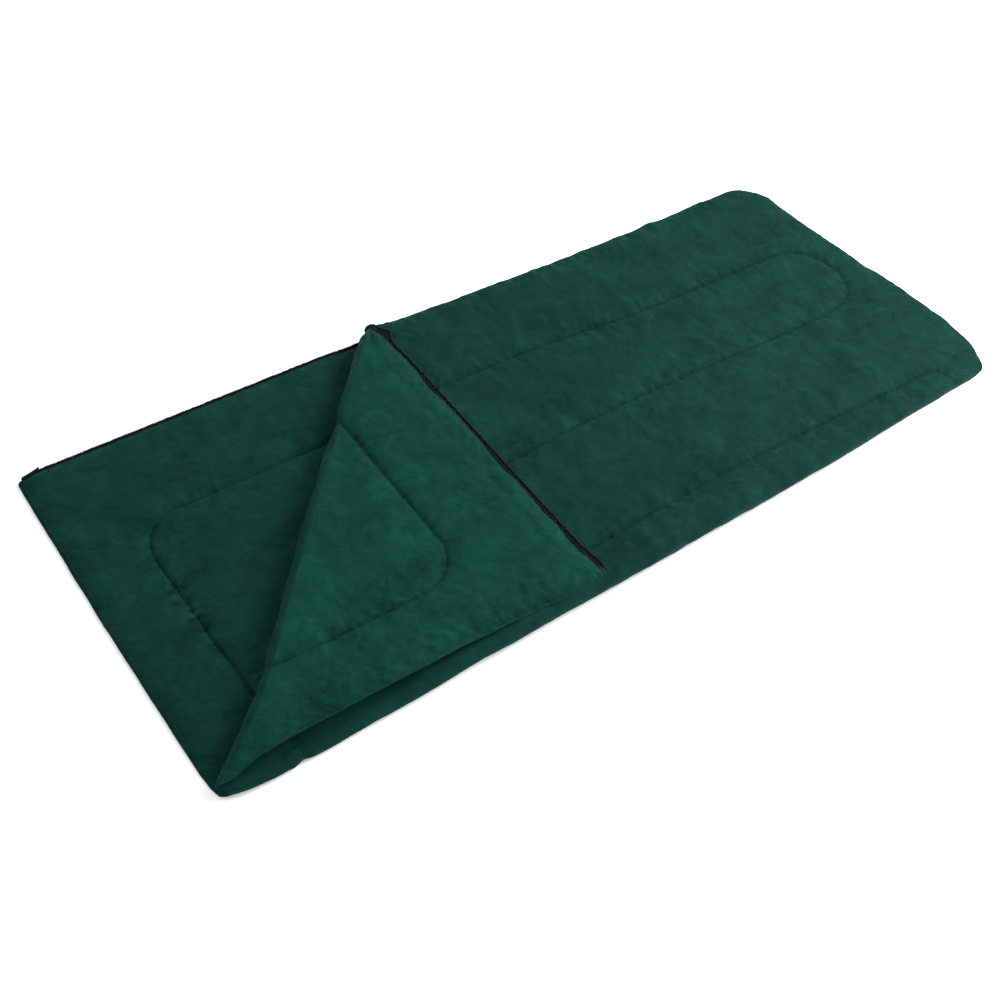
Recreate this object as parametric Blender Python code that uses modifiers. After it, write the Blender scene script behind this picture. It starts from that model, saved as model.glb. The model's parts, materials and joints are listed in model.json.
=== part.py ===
"""Envelope sleeping bag, lying flat and unzipped from the head to about two fifths of its length.

A lower and an upper quilt meet in a soft fold along one long side. A coil zip closes the other long
side and the foot end. The upper quilt's free corner is folded back over the cover along a 45 degree
crease, with its lining up. Each quilt is an outer shell, a batting and a lining.

Frame: +X runs from the head to the foot, +Y from the side fold to the zip, +Z up, and the origin is
on the ground under the middle of the bag. Lengths are in metres.
"""
import math

import bmesh
import bpy
from mathutils import Matrix, Vector

# ---------------------------------------------------------------- driving dimensions
LENGTH = 1.80            # head hem to the zip round the foot end
WIDTH = 0.75             # side fold to zip, closed
QUILT = 0.019            # thickness of one quilt
LINING_GAP = 0.008       # room between the two linings
CREASE_GAP = 0.003       # room between the cover and the corner folded back over it
CLOTH = 0.001            # shell and lining
CLEARANCE = 0.0003       # between neighbours that touch
FOLD_CLEARANCE = 0.0005  # between a quilt and the axis of its fold
CREASE_INSET = 0.009     # the crease meets the side fold this far from the head hem
FAR_FOOT_RADIUS = 0.080
NEAR_FOOT_RADIUS = 0.060
HEAD_RADIUS = 0.015
HEM_BEVEL = 0.005        # rounding of a quilt's outer edge
ARC_STEP = 11.25         # degrees in one straight piece of a rounded outline

COIL_RADIUS = 0.0013
COIL_PARTING = 0.0020    # between the two coils
TAPE = 0.0006
ZIP_REACH = 0.0058       # outer side of the coils, measured from the quilts' edge
TAPE_END = 0.012         # bare length of each tape and coil short of the head hem
STOP_SIZE = Vector((0.0045, 0.0034, 0.0034))

SLIDER_LENGTH = 0.016
SLIDER_NOSE = 0.012      # height at the end that parts the coils
SLIDER_TAIL = 0.0095
SLIDER_PLATE = 0.0012
SLIDER_CHANNEL = 0.0050  # between the two plates
DIAMOND = Vector((0.007, 0.0012))
BRIDGE_SPAN = 0.011
BRIDGE_RISE = 0.0034
BRIDGE_RADIUS = 0.0008
TAB_LENGTH = 0.030
TAB_WIDTH = 0.0070
TAB_THICKNESS = 0.0012
TAB_RISE = 0.0013        # the tab's hinge above the slider's outer plate
TAB_EYE = Vector((0.0090, 0.0044))
TAB_BAR = 0.0008         # from the hinge to the eye's near edge

THREAD_RADIUS = 0.0003
FAR_SEAM = 0.160         # seam next to the zip, as a distance from the bag's centre line
MID_SEAM = -0.062
NEAR_SEAM = -0.300
HEAD_SEAM_INSET = 0.122  # seam next to the head hem
FOOT_SEAM_INSET = 0.052  # how near the seams' turns come to the foot end
HEAD_CORNER_SEAM = 0.060
TURN_X = -0.42           # where the middle seam turns back into the near one

# ---------------------------------------------------------------- derived places
FOLD_RADIUS = QUILT + LINING_GAP / 2
X_HEAD = -LENGTH / 2
X_FOOT = LENGTH / 2 - ZIP_REACH
Y_FOLD = -WIDTH / 2 + FOLD_RADIUS
Y_EDGE = Y_FOLD + FOLD_CLEARANCE
Y_ZIP = WIDTH / 2 - ZIP_REACH
Z_MIDDLE = FOLD_RADIUS
Z_COVER = 2 * FOLD_RADIUS
Z_CREASE = Z_COVER + CREASE_GAP / 2
CREASE_NEAR = Vector((X_HEAD + CREASE_INSET, Y_FOLD, Z_CREASE))
CREASE_FAR = Vector((CREASE_NEAR.x + Y_ZIP - Y_FOLD, Y_ZIP, Z_CREASE))
CREASE_SIDE = FOLD_CLEARANCE * math.sqrt(2)
COIL_OFFSET = ZIP_REACH - COIL_RADIUS
COIL_DROP = COIL_PARTING / 2 + COIL_RADIUS
TAPE_DROP = COIL_DROP + COIL_RADIUS + CLEARANCE
SEAM_DROP = Z_MIDDLE - QUILT / 2
SLIDER_X = CREASE_FAR.x + SLIDER_LENGTH / 2 + 0.002
SLIDER_SIDE = SLIDER_CHANNEL / 2 + SLIDER_PLATE
SLIDER_END = SLIDER_X + SLIDER_LENGTH / 2 + 0.002
ZIP_END_Y = Y_FOLD + NEAR_FOOT_RADIUS
X_HEAD_SEAM = X_HEAD + HEAD_SEAM_INSET
X_FOOT_SEAM = X_FOOT - FOOT_SEAM_INSET

COLOURS = {
    "outer_shell_fabric": ((0.010, 0.054, 0.040), 0.78, 0.0),
    "lining_fabric": ((0.012, 0.060, 0.046), 0.82, 0.0),
    "batting_fill": ((0.80, 0.80, 0.78), 0.95, 0.0),
    "zip_tape_fabric": ((0.008, 0.010, 0.010), 0.85, 0.0),
    "zip_coil_plastic": ((0.010, 0.012, 0.012), 0.45, 0.0),
    "slider_metal": ((0.015, 0.016, 0.016), 0.35, 0.6),
    "quilting_thread": ((0.008, 0.045, 0.034), 0.70, 0.0),
}


# ---------------------------------------------------------------- scene helpers
def clear_scene():
    for obj in list(bpy.data.objects):
        bpy.data.objects.remove(obj, do_unlink=True)


def make_collection(name):
    collection = bpy.data.collections.new(name)
    bpy.context.scene.collection.children.link(collection)
    return collection


def make_material(name):
    colour, roughness, metallic = COLOURS[name]
    material = bpy.data.materials.new(name)
    material.use_nodes = True
    shader = material.node_tree.nodes["Principled BSDF"]
    shader.inputs["Base Color"].default_value = (*colour, 1.0)
    shader.inputs["Roughness"].default_value = roughness
    shader.inputs["Metallic"].default_value = metallic
    return material


clear_scene()
PARTS = make_collection("sleeping_bag")
CUTTERS = make_collection("cutters")
MATERIALS = {name: make_material(name) for name in COLOURS}


def add_object(name, data, material, pivot=None):
    """Put a mesh or curve in the collection, hung on a pivot without moving it."""
    obj = bpy.data.objects.new(name, data)
    data.materials.append(MATERIALS[material])
    PARTS.objects.link(obj)
    if pivot:
        empty, closed = pivot
        obj.parent = empty
        obj.matrix_parent_inverse = closed.inverted()
    return obj


def add_mesh(name, bm, material, pivot=None):
    mesh = bpy.data.meshes.new(name)
    bm.to_mesh(mesh)
    bm.free()
    return add_object(name, mesh, material, pivot)


def add_pivot(name, closed, turned, parent=None):
    """An empty on a joint's axis: where it is when closed, and where it is at rest."""
    empty = bpy.data.objects.new(name, None)
    PARTS.objects.link(empty)
    empty.matrix_basis = turned
    if parent:
        empty.parent = parent[0]
        empty.matrix_parent_inverse = parent[1].inverted()
    return empty, closed


def thicken(obj, thickness, offset=-1.0):
    solid = obj.modifiers.new("thickness", "SOLIDIFY")
    solid.thickness = thickness
    solid.offset = offset
    solid.use_even_offset = True


def round_edges(obj, width, segments=2):
    bevel = obj.modifiers.new("rounding", "BEVEL")
    bevel.width = width
    bevel.segments = segments
    bevel.limit_method = "ANGLE"
    bevel.angle_limit = math.radians(60)


def face_outwards(bm, is_outward):
    """Turn every face the way that the test on the first face asks for."""
    bmesh.ops.recalc_face_normals(bm, faces=bm.faces)
    bm.faces.ensure_lookup_table()
    if not is_outward(bm.faces[0]):
        bmesh.ops.reverse_faces(bm, faces=bm.faces)


# ---------------------------------------------------------------- outlines
def arc(centre_x, centre_y, radius, start, end):
    steps = max(2, round(abs(end - start) / ARC_STEP))
    turns = [math.radians(start + (end - start) * k / steps) for k in range(steps + 1)]
    return [(centre_x + radius * math.cos(t), centre_y + radius * math.sin(t)) for t in turns]


def foot_outline(inset):
    """Round the foot end, from the side fold to the zip side."""
    near = NEAR_FOOT_RADIUS - inset
    far = FAR_FOOT_RADIUS - inset
    return [
        *arc(X_FOOT - NEAR_FOOT_RADIUS, Y_FOLD + NEAR_FOOT_RADIUS, near, -90, 0),
        *arc(X_FOOT - FAR_FOOT_RADIUS, Y_ZIP - FAR_FOOT_RADIUS, far, 0, 90),
    ]


def head_outline(inset):
    """Round the far corner of the head end, then down the hem to the side fold."""
    corner = arc(X_HEAD + HEAD_RADIUS, Y_ZIP - HEAD_RADIUS, HEAD_RADIUS - inset, 90, 180)
    return [*corner, (X_HEAD + inset, Y_EDGE)]


def lower_outline(inset=0.0):
    """The hemmed edge, and the corners left where the outline runs along a fold."""
    return foot_outline(inset) + head_outline(inset), []


def upper_outline(inset=0.0):
    top = (CREASE_FAR.x + CREASE_SIDE - inset, Y_ZIP - inset)
    return foot_outline(inset) + [top], [(CREASE_NEAR.x + CREASE_SIDE, Y_EDGE)]


def flap_outline(inset=0.0):
    top = (CREASE_FAR.x - CREASE_SIDE - inset, Y_ZIP - inset)
    return [top] + head_outline(inset), [(CREASE_NEAR.x - CREASE_SIDE, Y_EDGE)]


def fillet(corners, radius):
    """A path of straight runs whose inner corners are rounded."""
    path = [corners[0]]
    for before, corner, after in zip(corners, corners[1:], corners[2:]):
        point = Vector(corner)
        entry = (Vector(before) - point).normalized()
        leave = (Vector(after) - point).normalized()
        half = entry.angle(leave) / 2
        centre = point + (entry + leave).normalized() * radius / math.sin(half)
        start = point + entry * radius / math.tan(half) - centre
        turn = start.angle_signed(point + leave * radius / math.tan(half) - centre)
        steps = max(2, round(abs(math.degrees(turn)) / ARC_STEP))
        for k in range(steps + 1):
            spoke = start.copy()
            spoke.rotate(Matrix.Rotation(-turn * k / steps, 2))
            path.append(tuple(centre + spoke))
    path.append(corners[-1])
    return path


# ---------------------------------------------------------------- soft pieces
def add_pan(name, outline, plate_z, material, pivot=None):
    """One face of a quilt: a sheet whose hem turns to meet the other face's hem."""
    hemmed, corners = outline
    lower_half = plate_z < Z_MIDDLE
    middle = QUILT / 2 if lower_half else Z_COVER - QUILT / 2
    rim_z = middle + math.copysign(CLEARANCE / 2, plate_z - middle)
    bm = bmesh.new()
    plate = [bm.verts.new((x, y, plate_z)) for x, y in hemmed + corners]
    bm.faces.new(plate)
    hem = [bm.edges.get(pair) for pair in zip(plate[: len(hemmed)], plate[1 : len(hemmed)])]
    turned = bmesh.ops.extrude_edge_only(bm, edges=hem)["geom"]
    rim = [item for item in turned if isinstance(item, bmesh.types.BMVert)]
    bmesh.ops.translate(bm, verts=rim, vec=(0.0, 0.0, rim_z - plate_z))
    face_outwards(bm, lambda face: face.normal.z * (plate_z - rim_z) > 0)
    obj = add_mesh(name, bm, material, pivot)
    round_edges(obj, HEM_BEVEL)
    thicken(obj, CLOTH)


def add_batting(name, outline, bottom, pivot=None):
    """The filling of one quilt, inside its shell and lining."""
    hemmed, corners = outline(CLOTH + CLEARANCE)
    bm = bmesh.new()
    base = bottom + CLOTH + CLEARANCE
    bm.faces.new([bm.verts.new((x, y, base)) for x, y in hemmed + corners])
    face_outwards(bm, lambda face: face.normal.z < 0)
    obj = add_mesh(name, bm, "batting_fill", pivot)
    thicken(obj, QUILT - 2 * (CLOTH + CLEARANCE))
    round_edges(obj, HEM_BEVEL)


def add_fold_layer(name, start, end, radius, thickness, material):
    """A half-round roll of cloth or filling that joins two quilts along their fold's axis."""
    outer = Vector((0.0, 0.0, -radius))
    inner = Vector((0.0, 0.0, thickness - radius))
    bm = bmesh.new()
    section = [start + outer, end + outer, end + inner, start + inner]
    face = bm.faces.new([bm.verts.new(point) for point in section])
    axis = (end - start).normalized()
    bmesh.ops.spin(bm, geom=[face], cent=start, axis=axis, angle=math.pi, steps=12)
    bmesh.ops.recalc_face_normals(bm, faces=bm.faces)
    add_mesh(name, bm, material)


def add_fold(name, start, end, outside, inner_radius, layers):
    """The layers of one fold, from the outside in: outermost cloth, filling, innermost cloth."""
    first, last = layers
    filling = outside - inner_radius - 2 * (CLOTH + CLEARANCE)
    add_fold_layer(f"{name}_{first}", start, end, outside, CLOTH, f"{first}_fabric")
    core = outside - CLOTH - CLEARANCE
    add_fold_layer(f"{name}_batting", start, end, core, filling, "batting_fill")
    add_fold_layer(f"{name}_{last}", start, end, inner_radius + CLOTH, CLOTH, f"{last}_fabric")


def add_thread(name, path, z, pivot=None):
    """A quilting seam's thread, lying on the cloth."""
    points = [(x, y, z) for x, y in path]
    add_tube(name, points, THREAD_RADIUS, "quilting_thread", pivot)


def add_tube(name, points, radius, material, pivot=None):
    curve = bpy.data.curves.new(name, "CURVE")
    curve.dimensions = "3D"
    curve.bevel_depth = radius
    curve.bevel_resolution = 2
    curve.use_fill_caps = True
    spline = curve.splines.new("POLY")
    spline.points.add(len(points) - 1)
    for place, point in zip(spline.points, points):
        place.co = (*point, 1.0)
    return add_object(name, curve, material, pivot)


# ---------------------------------------------------------------- zip
def zip_route(start_x, offset):
    """Along the zip side from start_x, round the far corner and along the foot end."""
    corner = arc(X_FOOT - FAR_FOOT_RADIUS, Y_ZIP - FAR_FOOT_RADIUS, FAR_FOOT_RADIUS + offset, 90, 0)
    return [(start_x, Y_ZIP + offset), *corner, (X_FOOT + offset, ZIP_END_Y)]


def straight_route(start_x, offset):
    """Along the zip side of the folded corner, from start_x to the head."""
    return [(start_x, Y_ZIP + offset), (X_HEAD + TAPE_END, Y_ZIP + offset)]


def add_zip_half(name, route, start_x, side, pivot=None):
    """A tape that leaves the quilt's seam and turns towards the other half, and its coil."""
    levels = [
        (CLEARANCE, SEAM_DROP),
        (COIL_OFFSET, SEAM_DROP),
        (COIL_OFFSET, TAPE_DROP),
    ]
    bm = bmesh.new()
    rails = []
    for offset, drop in levels:
        z = Z_MIDDLE + side * drop
        rails.append([bm.verts.new((x, y, z)) for x, y in route(start_x, offset)])
    for rail, following in zip(rails, rails[1:]):
        for k in range(len(rail) - 1):
            bm.faces.new((rail[k], rail[k + 1], following[k + 1], following[k]))
    face_outwards(bm, lambda face: face.normal.z * side > 0)
    tape = add_mesh(f"{name}_zip_tape", bm, "zip_tape_fabric", pivot)
    thicken(tape, TAPE, offset=-1.0)
    z = Z_MIDDLE + side * COIL_DROP
    points = [(x, y, z) for x, y in route(start_x, COIL_OFFSET)]
    add_tube(f"{name}_zip_coil", points, COIL_RADIUS, "zip_coil_plastic", pivot)


def add_stop(name, centre, size, pivot=None):
    """A crimped metal stop, past the end of a coil."""
    bm = bmesh.new()
    bmesh.ops.create_cube(bm, size=1.0)
    bmesh.ops.scale(bm, vec=size, verts=bm.verts)
    bmesh.ops.translate(bm, vec=centre, verts=bm.verts)
    obj = add_mesh(name, bm, "slider_metal", pivot)
    round_edges(obj, 0.0006)


def add_stops(flap_pivot):
    x = X_HEAD + TAPE_END - CLEARANCE - STOP_SIZE.x / 2
    y = Y_ZIP + COIL_OFFSET
    add_stop("lower_top_stop", Vector((x, y, Z_MIDDLE - COIL_DROP)), STOP_SIZE)
    add_stop("flap_top_stop", Vector((x, y, Z_MIDDLE + COIL_DROP)), STOP_SIZE, flap_pivot)
    size = Vector((STOP_SIZE.y, STOP_SIZE.x, 2 * (COIL_DROP + COIL_RADIUS)))
    end_y = ZIP_END_Y - CLEARANCE - size.y / 2
    add_stop("zip_bottom_stop", Vector((X_FOOT + COIL_OFFSET, end_y, Z_MIDDLE)), size)


# ---------------------------------------------------------------- slider
def flat_curve(name, outlines, thickness):
    """A flat piece in the XZ plane, centred on y = 0, as a mesh made from its outlines."""
    curve = bpy.data.curves.new(name, "CURVE")
    curve.dimensions = "2D"
    curve.fill_mode = "BOTH"
    curve.extrude = thickness / 2
    for outline in outlines:
        spline = curve.splines.new("POLY")
        spline.points.add(len(outline) - 1)
        for place, (x, z) in zip(spline.points, outline):
            place.co = (x, z, 0.0, 1.0)
        spline.use_cyclic_u = True
    guide = bpy.data.objects.new(name, curve)
    PARTS.objects.link(guide)
    bpy.context.view_layer.update()
    evaluated = guide.evaluated_get(bpy.context.evaluated_depsgraph_get())
    mesh = bpy.data.meshes.new_from_object(evaluated)
    bpy.data.objects.remove(guide, do_unlink=True)
    mesh.transform(Matrix.Rotation(math.pi / 2, 4, "X"))
    bm = bmesh.new()
    bm.from_mesh(mesh)
    bmesh.ops.remove_doubles(bm, verts=bm.verts, dist=0.00001)
    bmesh.ops.recalc_face_normals(bm, faces=bm.faces)
    bm.to_mesh(mesh)
    bm.free()
    return mesh


def slider_plate_outline():
    half = SLIDER_LENGTH / 2
    nose = SLIDER_NOSE / 2
    tail = SLIDER_TAIL / 2
    chamfer = 0.0018
    side = [(-half, nose - chamfer), (-half + chamfer, nose), (0.0, nose - chamfer / 2)]
    side += [(half - chamfer, tail), (half, tail - chamfer)]
    return side + [(x, -z) for x, z in reversed(side)]


def add_slider():
    """Two plates joined by the diamond that runs between the parted coils."""
    place = Vector((SLIDER_X, Y_ZIP + COIL_OFFSET, Z_MIDDLE))
    plate = slider_plate_outline()
    body = add_object("slider_body", flat_curve("slider_body", [plate], SLIDER_PLATE), "slider_metal")
    body.location = place
    plate_y = (SLIDER_CHANNEL + SLIDER_PLATE) / 2
    body.data.transform(Matrix.Translation((0.0, -plate_y, 0.0)))
    outer = flat_curve("outer_plate", [plate], SLIDER_PLATE)
    outer.transform(Matrix.Translation((0.0, plate_y, 0.0)))
    rhomb = [(-DIAMOND.x / 2, 0.0), (0.0, -DIAMOND.y / 2), (DIAMOND.x / 2, 0.0), (0.0, DIAMOND.y / 2)]
    diamond = flat_curve("diamond", [rhomb], SLIDER_CHANNEL + SLIDER_PLATE)
    diamond.transform(Matrix.Translation((-SLIDER_LENGTH / 4, 0.0, 0.0)))
    for name, mesh in (("diamond", diamond), ("outer_plate", outer)):
        tool = bpy.data.objects.new(name, mesh)
        CUTTERS.objects.link(tool)
        tool.location = place
        tool.hide_render = True
        tool.display_type = "WIRE"
        union = body.modifiers.new(name, "BOOLEAN")
        union.operation = "UNION"
        union.object = tool
    return body


def add_bridge(slider):
    """The wire loop on the outer plate that holds the pull tab."""
    foot = SLIDER_SIDE + CLEARANCE
    top = SLIDER_SIDE + BRIDGE_RISE
    half = BRIDGE_SPAN / 2
    profile = fillet([(-half, foot), (-half, top), (half, top), (half, foot)], 0.0014)
    points = [(x, y, 0.0) for x, y in profile]
    bridge = add_tube("slider_bridge", points, BRIDGE_RADIUS, "slider_metal")
    bridge.parent = slider


def add_pull_tab(slider):
    """A flat tab whose eye loops round the bridge, turning on the bar under it."""
    half = TAB_WIDTH / 2
    end = TAB_LENGTH - half
    rounded = arc(end, 0.0, half, -90, 90)
    outer = [(-TAB_BAR, half), (-TAB_BAR, -half), *rounded]
    eye_z = TAB_EYE.y / 2
    eye = [(TAB_BAR, -eye_z), (TAB_BAR, eye_z), (TAB_EYE.x, eye_z), (TAB_EYE.x, -eye_z)]
    tab = add_object("pull_tab", flat_curve("pull_tab", [outer, eye], TAB_THICKNESS), "slider_metal")
    tab.parent = slider
    tab.location = (0.0, SLIDER_SIDE + TAB_RISE, 0.0)


# ---------------------------------------------------------------- quilts
def seam_route():
    """The seam on the cover: out along the zip side, back up the middle, out again by the fold."""
    foot_turn = (FAR_SEAM - MID_SEAM) / 2
    head_turn = (MID_SEAM - NEAR_SEAM) / 2
    start = CREASE_NEAR.x + FAR_SEAM - Y_FOLD + 0.02
    return [
        (start, FAR_SEAM),
        *arc(X_FOOT_SEAM - foot_turn, FAR_SEAM - foot_turn, foot_turn, 90, -90),
        *arc(TURN_X + head_turn, MID_SEAM - head_turn, head_turn, 90, 270),
        *arc(X_FOOT_SEAM - head_turn / 2, NEAR_SEAM - head_turn / 4, head_turn / 4, 90, 0),
    ]


def head_seam(start_x):
    """The seam round the head end, from start_x on the zip side down to the side fold."""
    corners = [(start_x, FAR_SEAM), (X_HEAD_SEAM, FAR_SEAM), (X_HEAD_SEAM, Y_EDGE + 0.004)]
    return fillet(corners, HEAD_CORNER_SEAM)


def add_quilt(name, outline, bottom, outer_below, pivot=None):
    """The three layers of a quilt, with its outer shell underneath or on top."""
    under, over = ("outer_shell", "lining") if outer_below else ("lining", "outer_shell")
    add_pan(f"{name}_{under}", outline(), bottom, f"{under}_fabric", pivot)
    add_batting(f"{name}_batting", outline, bottom, pivot)
    add_pan(f"{name}_{over}", outline(), bottom + QUILT, f"{over}_fabric", pivot)


def build_lower():
    add_quilt("lower", lower_outline, 0.0, outer_below=True)
    add_zip_half("lower", zip_route, X_HEAD + TAPE_END, -1)
    foot_part = seam_route()[1:]
    head_part = head_seam(foot_part[0][0])[1:]
    route = list(reversed(head_part)) + foot_part
    add_thread("lower_quilting_thread", route, QUILT + CLEARANCE + THREAD_RADIUS)


def build_upper(cover):
    bottom = Z_COVER - QUILT
    on_top = Z_COVER + CLEARANCE + THREAD_RADIUS
    add_quilt("upper", upper_outline, bottom, outer_below=False, pivot=cover)
    add_zip_half("upper", zip_route, SLIDER_END, 1, cover)
    add_thread("upper_quilting_thread", seam_route(), on_top, cover)
    crease_y = Y_FOLD + X_HEAD_SEAM - CREASE_NEAR.x
    short = [(X_HEAD_SEAM, Y_EDGE + 0.004), (X_HEAD_SEAM, crease_y - 0.010)]
    add_thread("upper_head_thread", short, on_top, cover)


def build_flap(flap):
    """The folded corner, modelled closed; its pivot turns it over on to the cover."""
    bottom = Z_COVER - QUILT
    add_quilt("flap", flap_outline, bottom, outer_below=False, pivot=flap)
    add_zip_half("flap", straight_route, CREASE_FAR.x - 0.0025, 1, flap)
    crease_x = CREASE_NEAR.x + FAR_SEAM - Y_FOLD
    crease_y = Y_FOLD + X_HEAD_SEAM - CREASE_NEAR.x
    ends = [(crease_x - 0.010, FAR_SEAM), (X_HEAD_SEAM, FAR_SEAM), (X_HEAD_SEAM, crease_y + 0.010)]
    under = bottom - CLEARANCE - THREAD_RADIUS
    add_thread("flap_quilting_thread", fillet(ends, HEAD_CORNER_SEAM), under, flap)


def build_folds():
    """The soft rolls along the side fold and along the corner's crease."""
    start = Vector((X_FOOT - NEAR_FOOT_RADIUS, Y_FOLD, Z_MIDDLE))
    end = Vector((X_HEAD, Y_FOLD, Z_MIDDLE))
    layers = ("outer_shell", "lining")
    add_fold("side_fold", start, end, FOLD_RADIUS, LINING_GAP / 2, layers)
    along = (CREASE_FAR - CREASE_NEAR).normalized()
    start = CREASE_NEAR + along * 0.008
    end = CREASE_FAR - along * 0.026
    outside = QUILT + CREASE_GAP / 2
    add_fold("crease_fold", start, end, outside, CREASE_GAP / 2, tuple(reversed(layers)))


def build():
    hinge = Matrix.Translation((0.0, Y_FOLD, Z_MIDDLE))
    cover = add_pivot("cover_hinge", hinge, hinge)
    closed = Matrix.Translation(CREASE_NEAR) @ Matrix.Rotation(math.pi / 4, 4, "Z")
    turned = closed @ Matrix.Rotation(math.pi, 4, "X")
    flap = add_pivot("crease_hinge", closed, turned, cover)
    build_lower()
    build_upper(cover)
    build_flap(flap)
    build_folds()
    add_stops(flap)
    slider = add_slider()
    add_bridge(slider)
    add_pull_tab(slider)


build()
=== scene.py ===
"""Looks of the envelope sleeping bag: quilted cloth, zip, stitches, materials, light and camera.

Every cloth face is computed in the closed bag's plane, as a height over (x, y). The free corner is
computed closed too and then turned over its crease, so that it fits the bag at both limits.
"""

import json
import math

import bmesh
import bpy
import numpy as np
from mathutils import Matrix, Vector


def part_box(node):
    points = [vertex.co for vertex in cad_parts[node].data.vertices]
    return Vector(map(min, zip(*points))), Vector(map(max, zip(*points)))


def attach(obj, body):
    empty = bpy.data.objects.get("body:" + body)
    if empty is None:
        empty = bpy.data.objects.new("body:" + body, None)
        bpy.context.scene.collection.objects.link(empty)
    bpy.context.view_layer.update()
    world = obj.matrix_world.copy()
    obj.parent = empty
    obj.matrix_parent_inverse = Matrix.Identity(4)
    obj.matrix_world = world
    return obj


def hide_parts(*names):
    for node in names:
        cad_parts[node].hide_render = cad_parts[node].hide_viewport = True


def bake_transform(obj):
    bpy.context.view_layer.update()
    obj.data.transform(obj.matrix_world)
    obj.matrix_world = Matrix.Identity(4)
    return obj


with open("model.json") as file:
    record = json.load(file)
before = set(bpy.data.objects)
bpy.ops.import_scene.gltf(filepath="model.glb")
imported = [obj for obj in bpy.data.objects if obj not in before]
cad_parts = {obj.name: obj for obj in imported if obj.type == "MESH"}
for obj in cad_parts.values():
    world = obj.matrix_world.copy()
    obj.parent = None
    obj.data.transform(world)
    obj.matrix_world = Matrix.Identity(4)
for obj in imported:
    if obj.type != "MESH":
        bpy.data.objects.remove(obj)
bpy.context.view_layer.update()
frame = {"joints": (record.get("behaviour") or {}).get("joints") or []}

# ---------------------------------------------------------------- places, from the frame
JOINTS = {joint["name"]: joint for joint in frame["joints"]}
SHELL_LOW, SHELL_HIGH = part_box("lower_outer_shell")
SEAM_LOW, SEAM_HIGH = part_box("lower_quilting_thread")
X_HEAD, X_FOOT, Y_ZIP = SHELL_LOW.x, SHELL_HIGH.x, SHELL_HIGH.y
Y_FOLD, Z_MIDDLE = JOINTS["cover_fold"]["pos_m"][1:]
CREASE = np.array(JOINTS["corner_fold"]["pos_m"])
Z_CREASE = CREASE[2]
CREASE_LENGTH = Y_ZIP - Y_FOLD
CREASE_FAR = np.array([CREASE[0] + CREASE_LENGTH, Y_ZIP])
ACROSS_CREASE = np.array([-1.0, 1.0]) / math.sqrt(2)
COIL_LOW = (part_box("lower_zip_coil")[0].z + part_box("lower_zip_coil")[1].z) / 2
COIL_HIGH = 2 * Z_MIDDLE - COIL_LOW
ZIP_END_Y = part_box("lower_zip_coil")[0].y

# ---------------------------------------------------------------- cloth sizes, in metres
CROWN = 0.0205           # thickness of a quilt between its seams
HEM = 0.0024             # thickness at its hem
LAYER_GAP = 0.0022       # from the bag's middle plane to each lining
SEAM_REACH = 0.050       # width over which the cloth dips towards a seam
HEM_REACH = 0.042
EDGE_BULGE = 0.0105      # how far the outer shell swells out past the zip's seam
FAR_FOOT_RADIUS = 0.080
NEAR_FOOT_REACH = 0.036  # how much longer the bag is on its folded side
OPEN_ZIP_SWELL = 0.008   # how far the open part of the zip side stands out
ZIP_SIDE_HOLLOW = 0.009  # how far the zip side is drawn in between the corner and the foot
HEAD_RADIUS = 0.009
HEAD_SLANT = 0.003       # how much longer the bag is on its zip side, at the head end
CREASE_DRAWN = 0.009     # how far the cloth is drawn in along the middle of the crease
CREASE_SLACK = 0.027     # and more near the side fold, where it is slack
HEAD_CORNER_SEAM = 0.085
X_HEAD_SEAM, X_FOOT_SEAM, FAR_SEAM = SEAM_LOW.x, SEAM_HIGH.x, SEAM_HIGH.y
MID_SEAM = FAR_SEAM - 0.222
NEAR_SEAM = MID_SEAM - 0.238
TURN_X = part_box("upper_quilting_thread")[0].x
ROUND_FOLD = math.pi * Z_MIDDLE
BELOW_FOLD = ROUND_FOLD + 0.003
SHEET_STEP = 0.0055      # grid of the simulated cloth
SHEET_FRAMES = 16
STITCH = 0.0042
HEM_INSET = 0.0065       # from the edge to the hem's stitches
TAPE_INSET = 0.0045      # from the edge to the stitches that hold the tape
THREAD = 0.00042
TAPE_REACH = 0.0046      # from the hem out to the zip's coil
TOOTH_PITCH = 0.0026
GATHER_PITCH = 0.0105    # between the pleats along the free corner's zip
COLUMNS = 380            # cells along the bag
ROWS = 210               # cells across it
FLAP_COLUMNS = 170
ROLL_STEPS = 24          # points round each fold
HEM_STEPS = 7            # points round a turned edge
ZIP_STEP = 0.0022        # between the points along a tape
RUN_STEP = 0.002         # between the points along a row of stitches


# ---------------------------------------------------------------- the bodies, and points beside the crease
def crease_break(height, half_width, climb=0.0):
    """Two points beside the crease, half_width either side of height; climb tilts the line between them along the
    crease.
    """
    middle = np.array([*CREASE[:2], height])
    up = np.array([-climb / math.sqrt(2), -climb / math.sqrt(2), 1.0])
    return tuple(middle - up * half_width), tuple(middle + up * half_width)


BODIES = {"lower": "lower_quilt", "upper": "upper_quilt", "flap": "corner_flap"}
# Two points beside the crease for each of the crease's cloths. The shell's cloth along the crease is made in two
# pieces, its near end a piece of its own.
LINING_BREAK = crease_break(Z_CREASE, 0.0005)
SHELL_BREAK = crease_break(Z_CREASE, 0.0001)
NEAR_END = 0.12          # metres of the crease that this end takes up


def blended(piece):
    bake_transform(piece)


# ---------------------------------------------------------------- noise and curves
def lattice_angle(column, row, seed):
    mixed = column * 374761393 + row * 668265263 + seed * 1446648777
    mixed = (mixed ^ (mixed >> 13)) * 1274126177
    mixed = mixed ^ (mixed >> 16)
    return (mixed & 0xFFFF) / 65536.0 * 2 * math.pi


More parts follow.
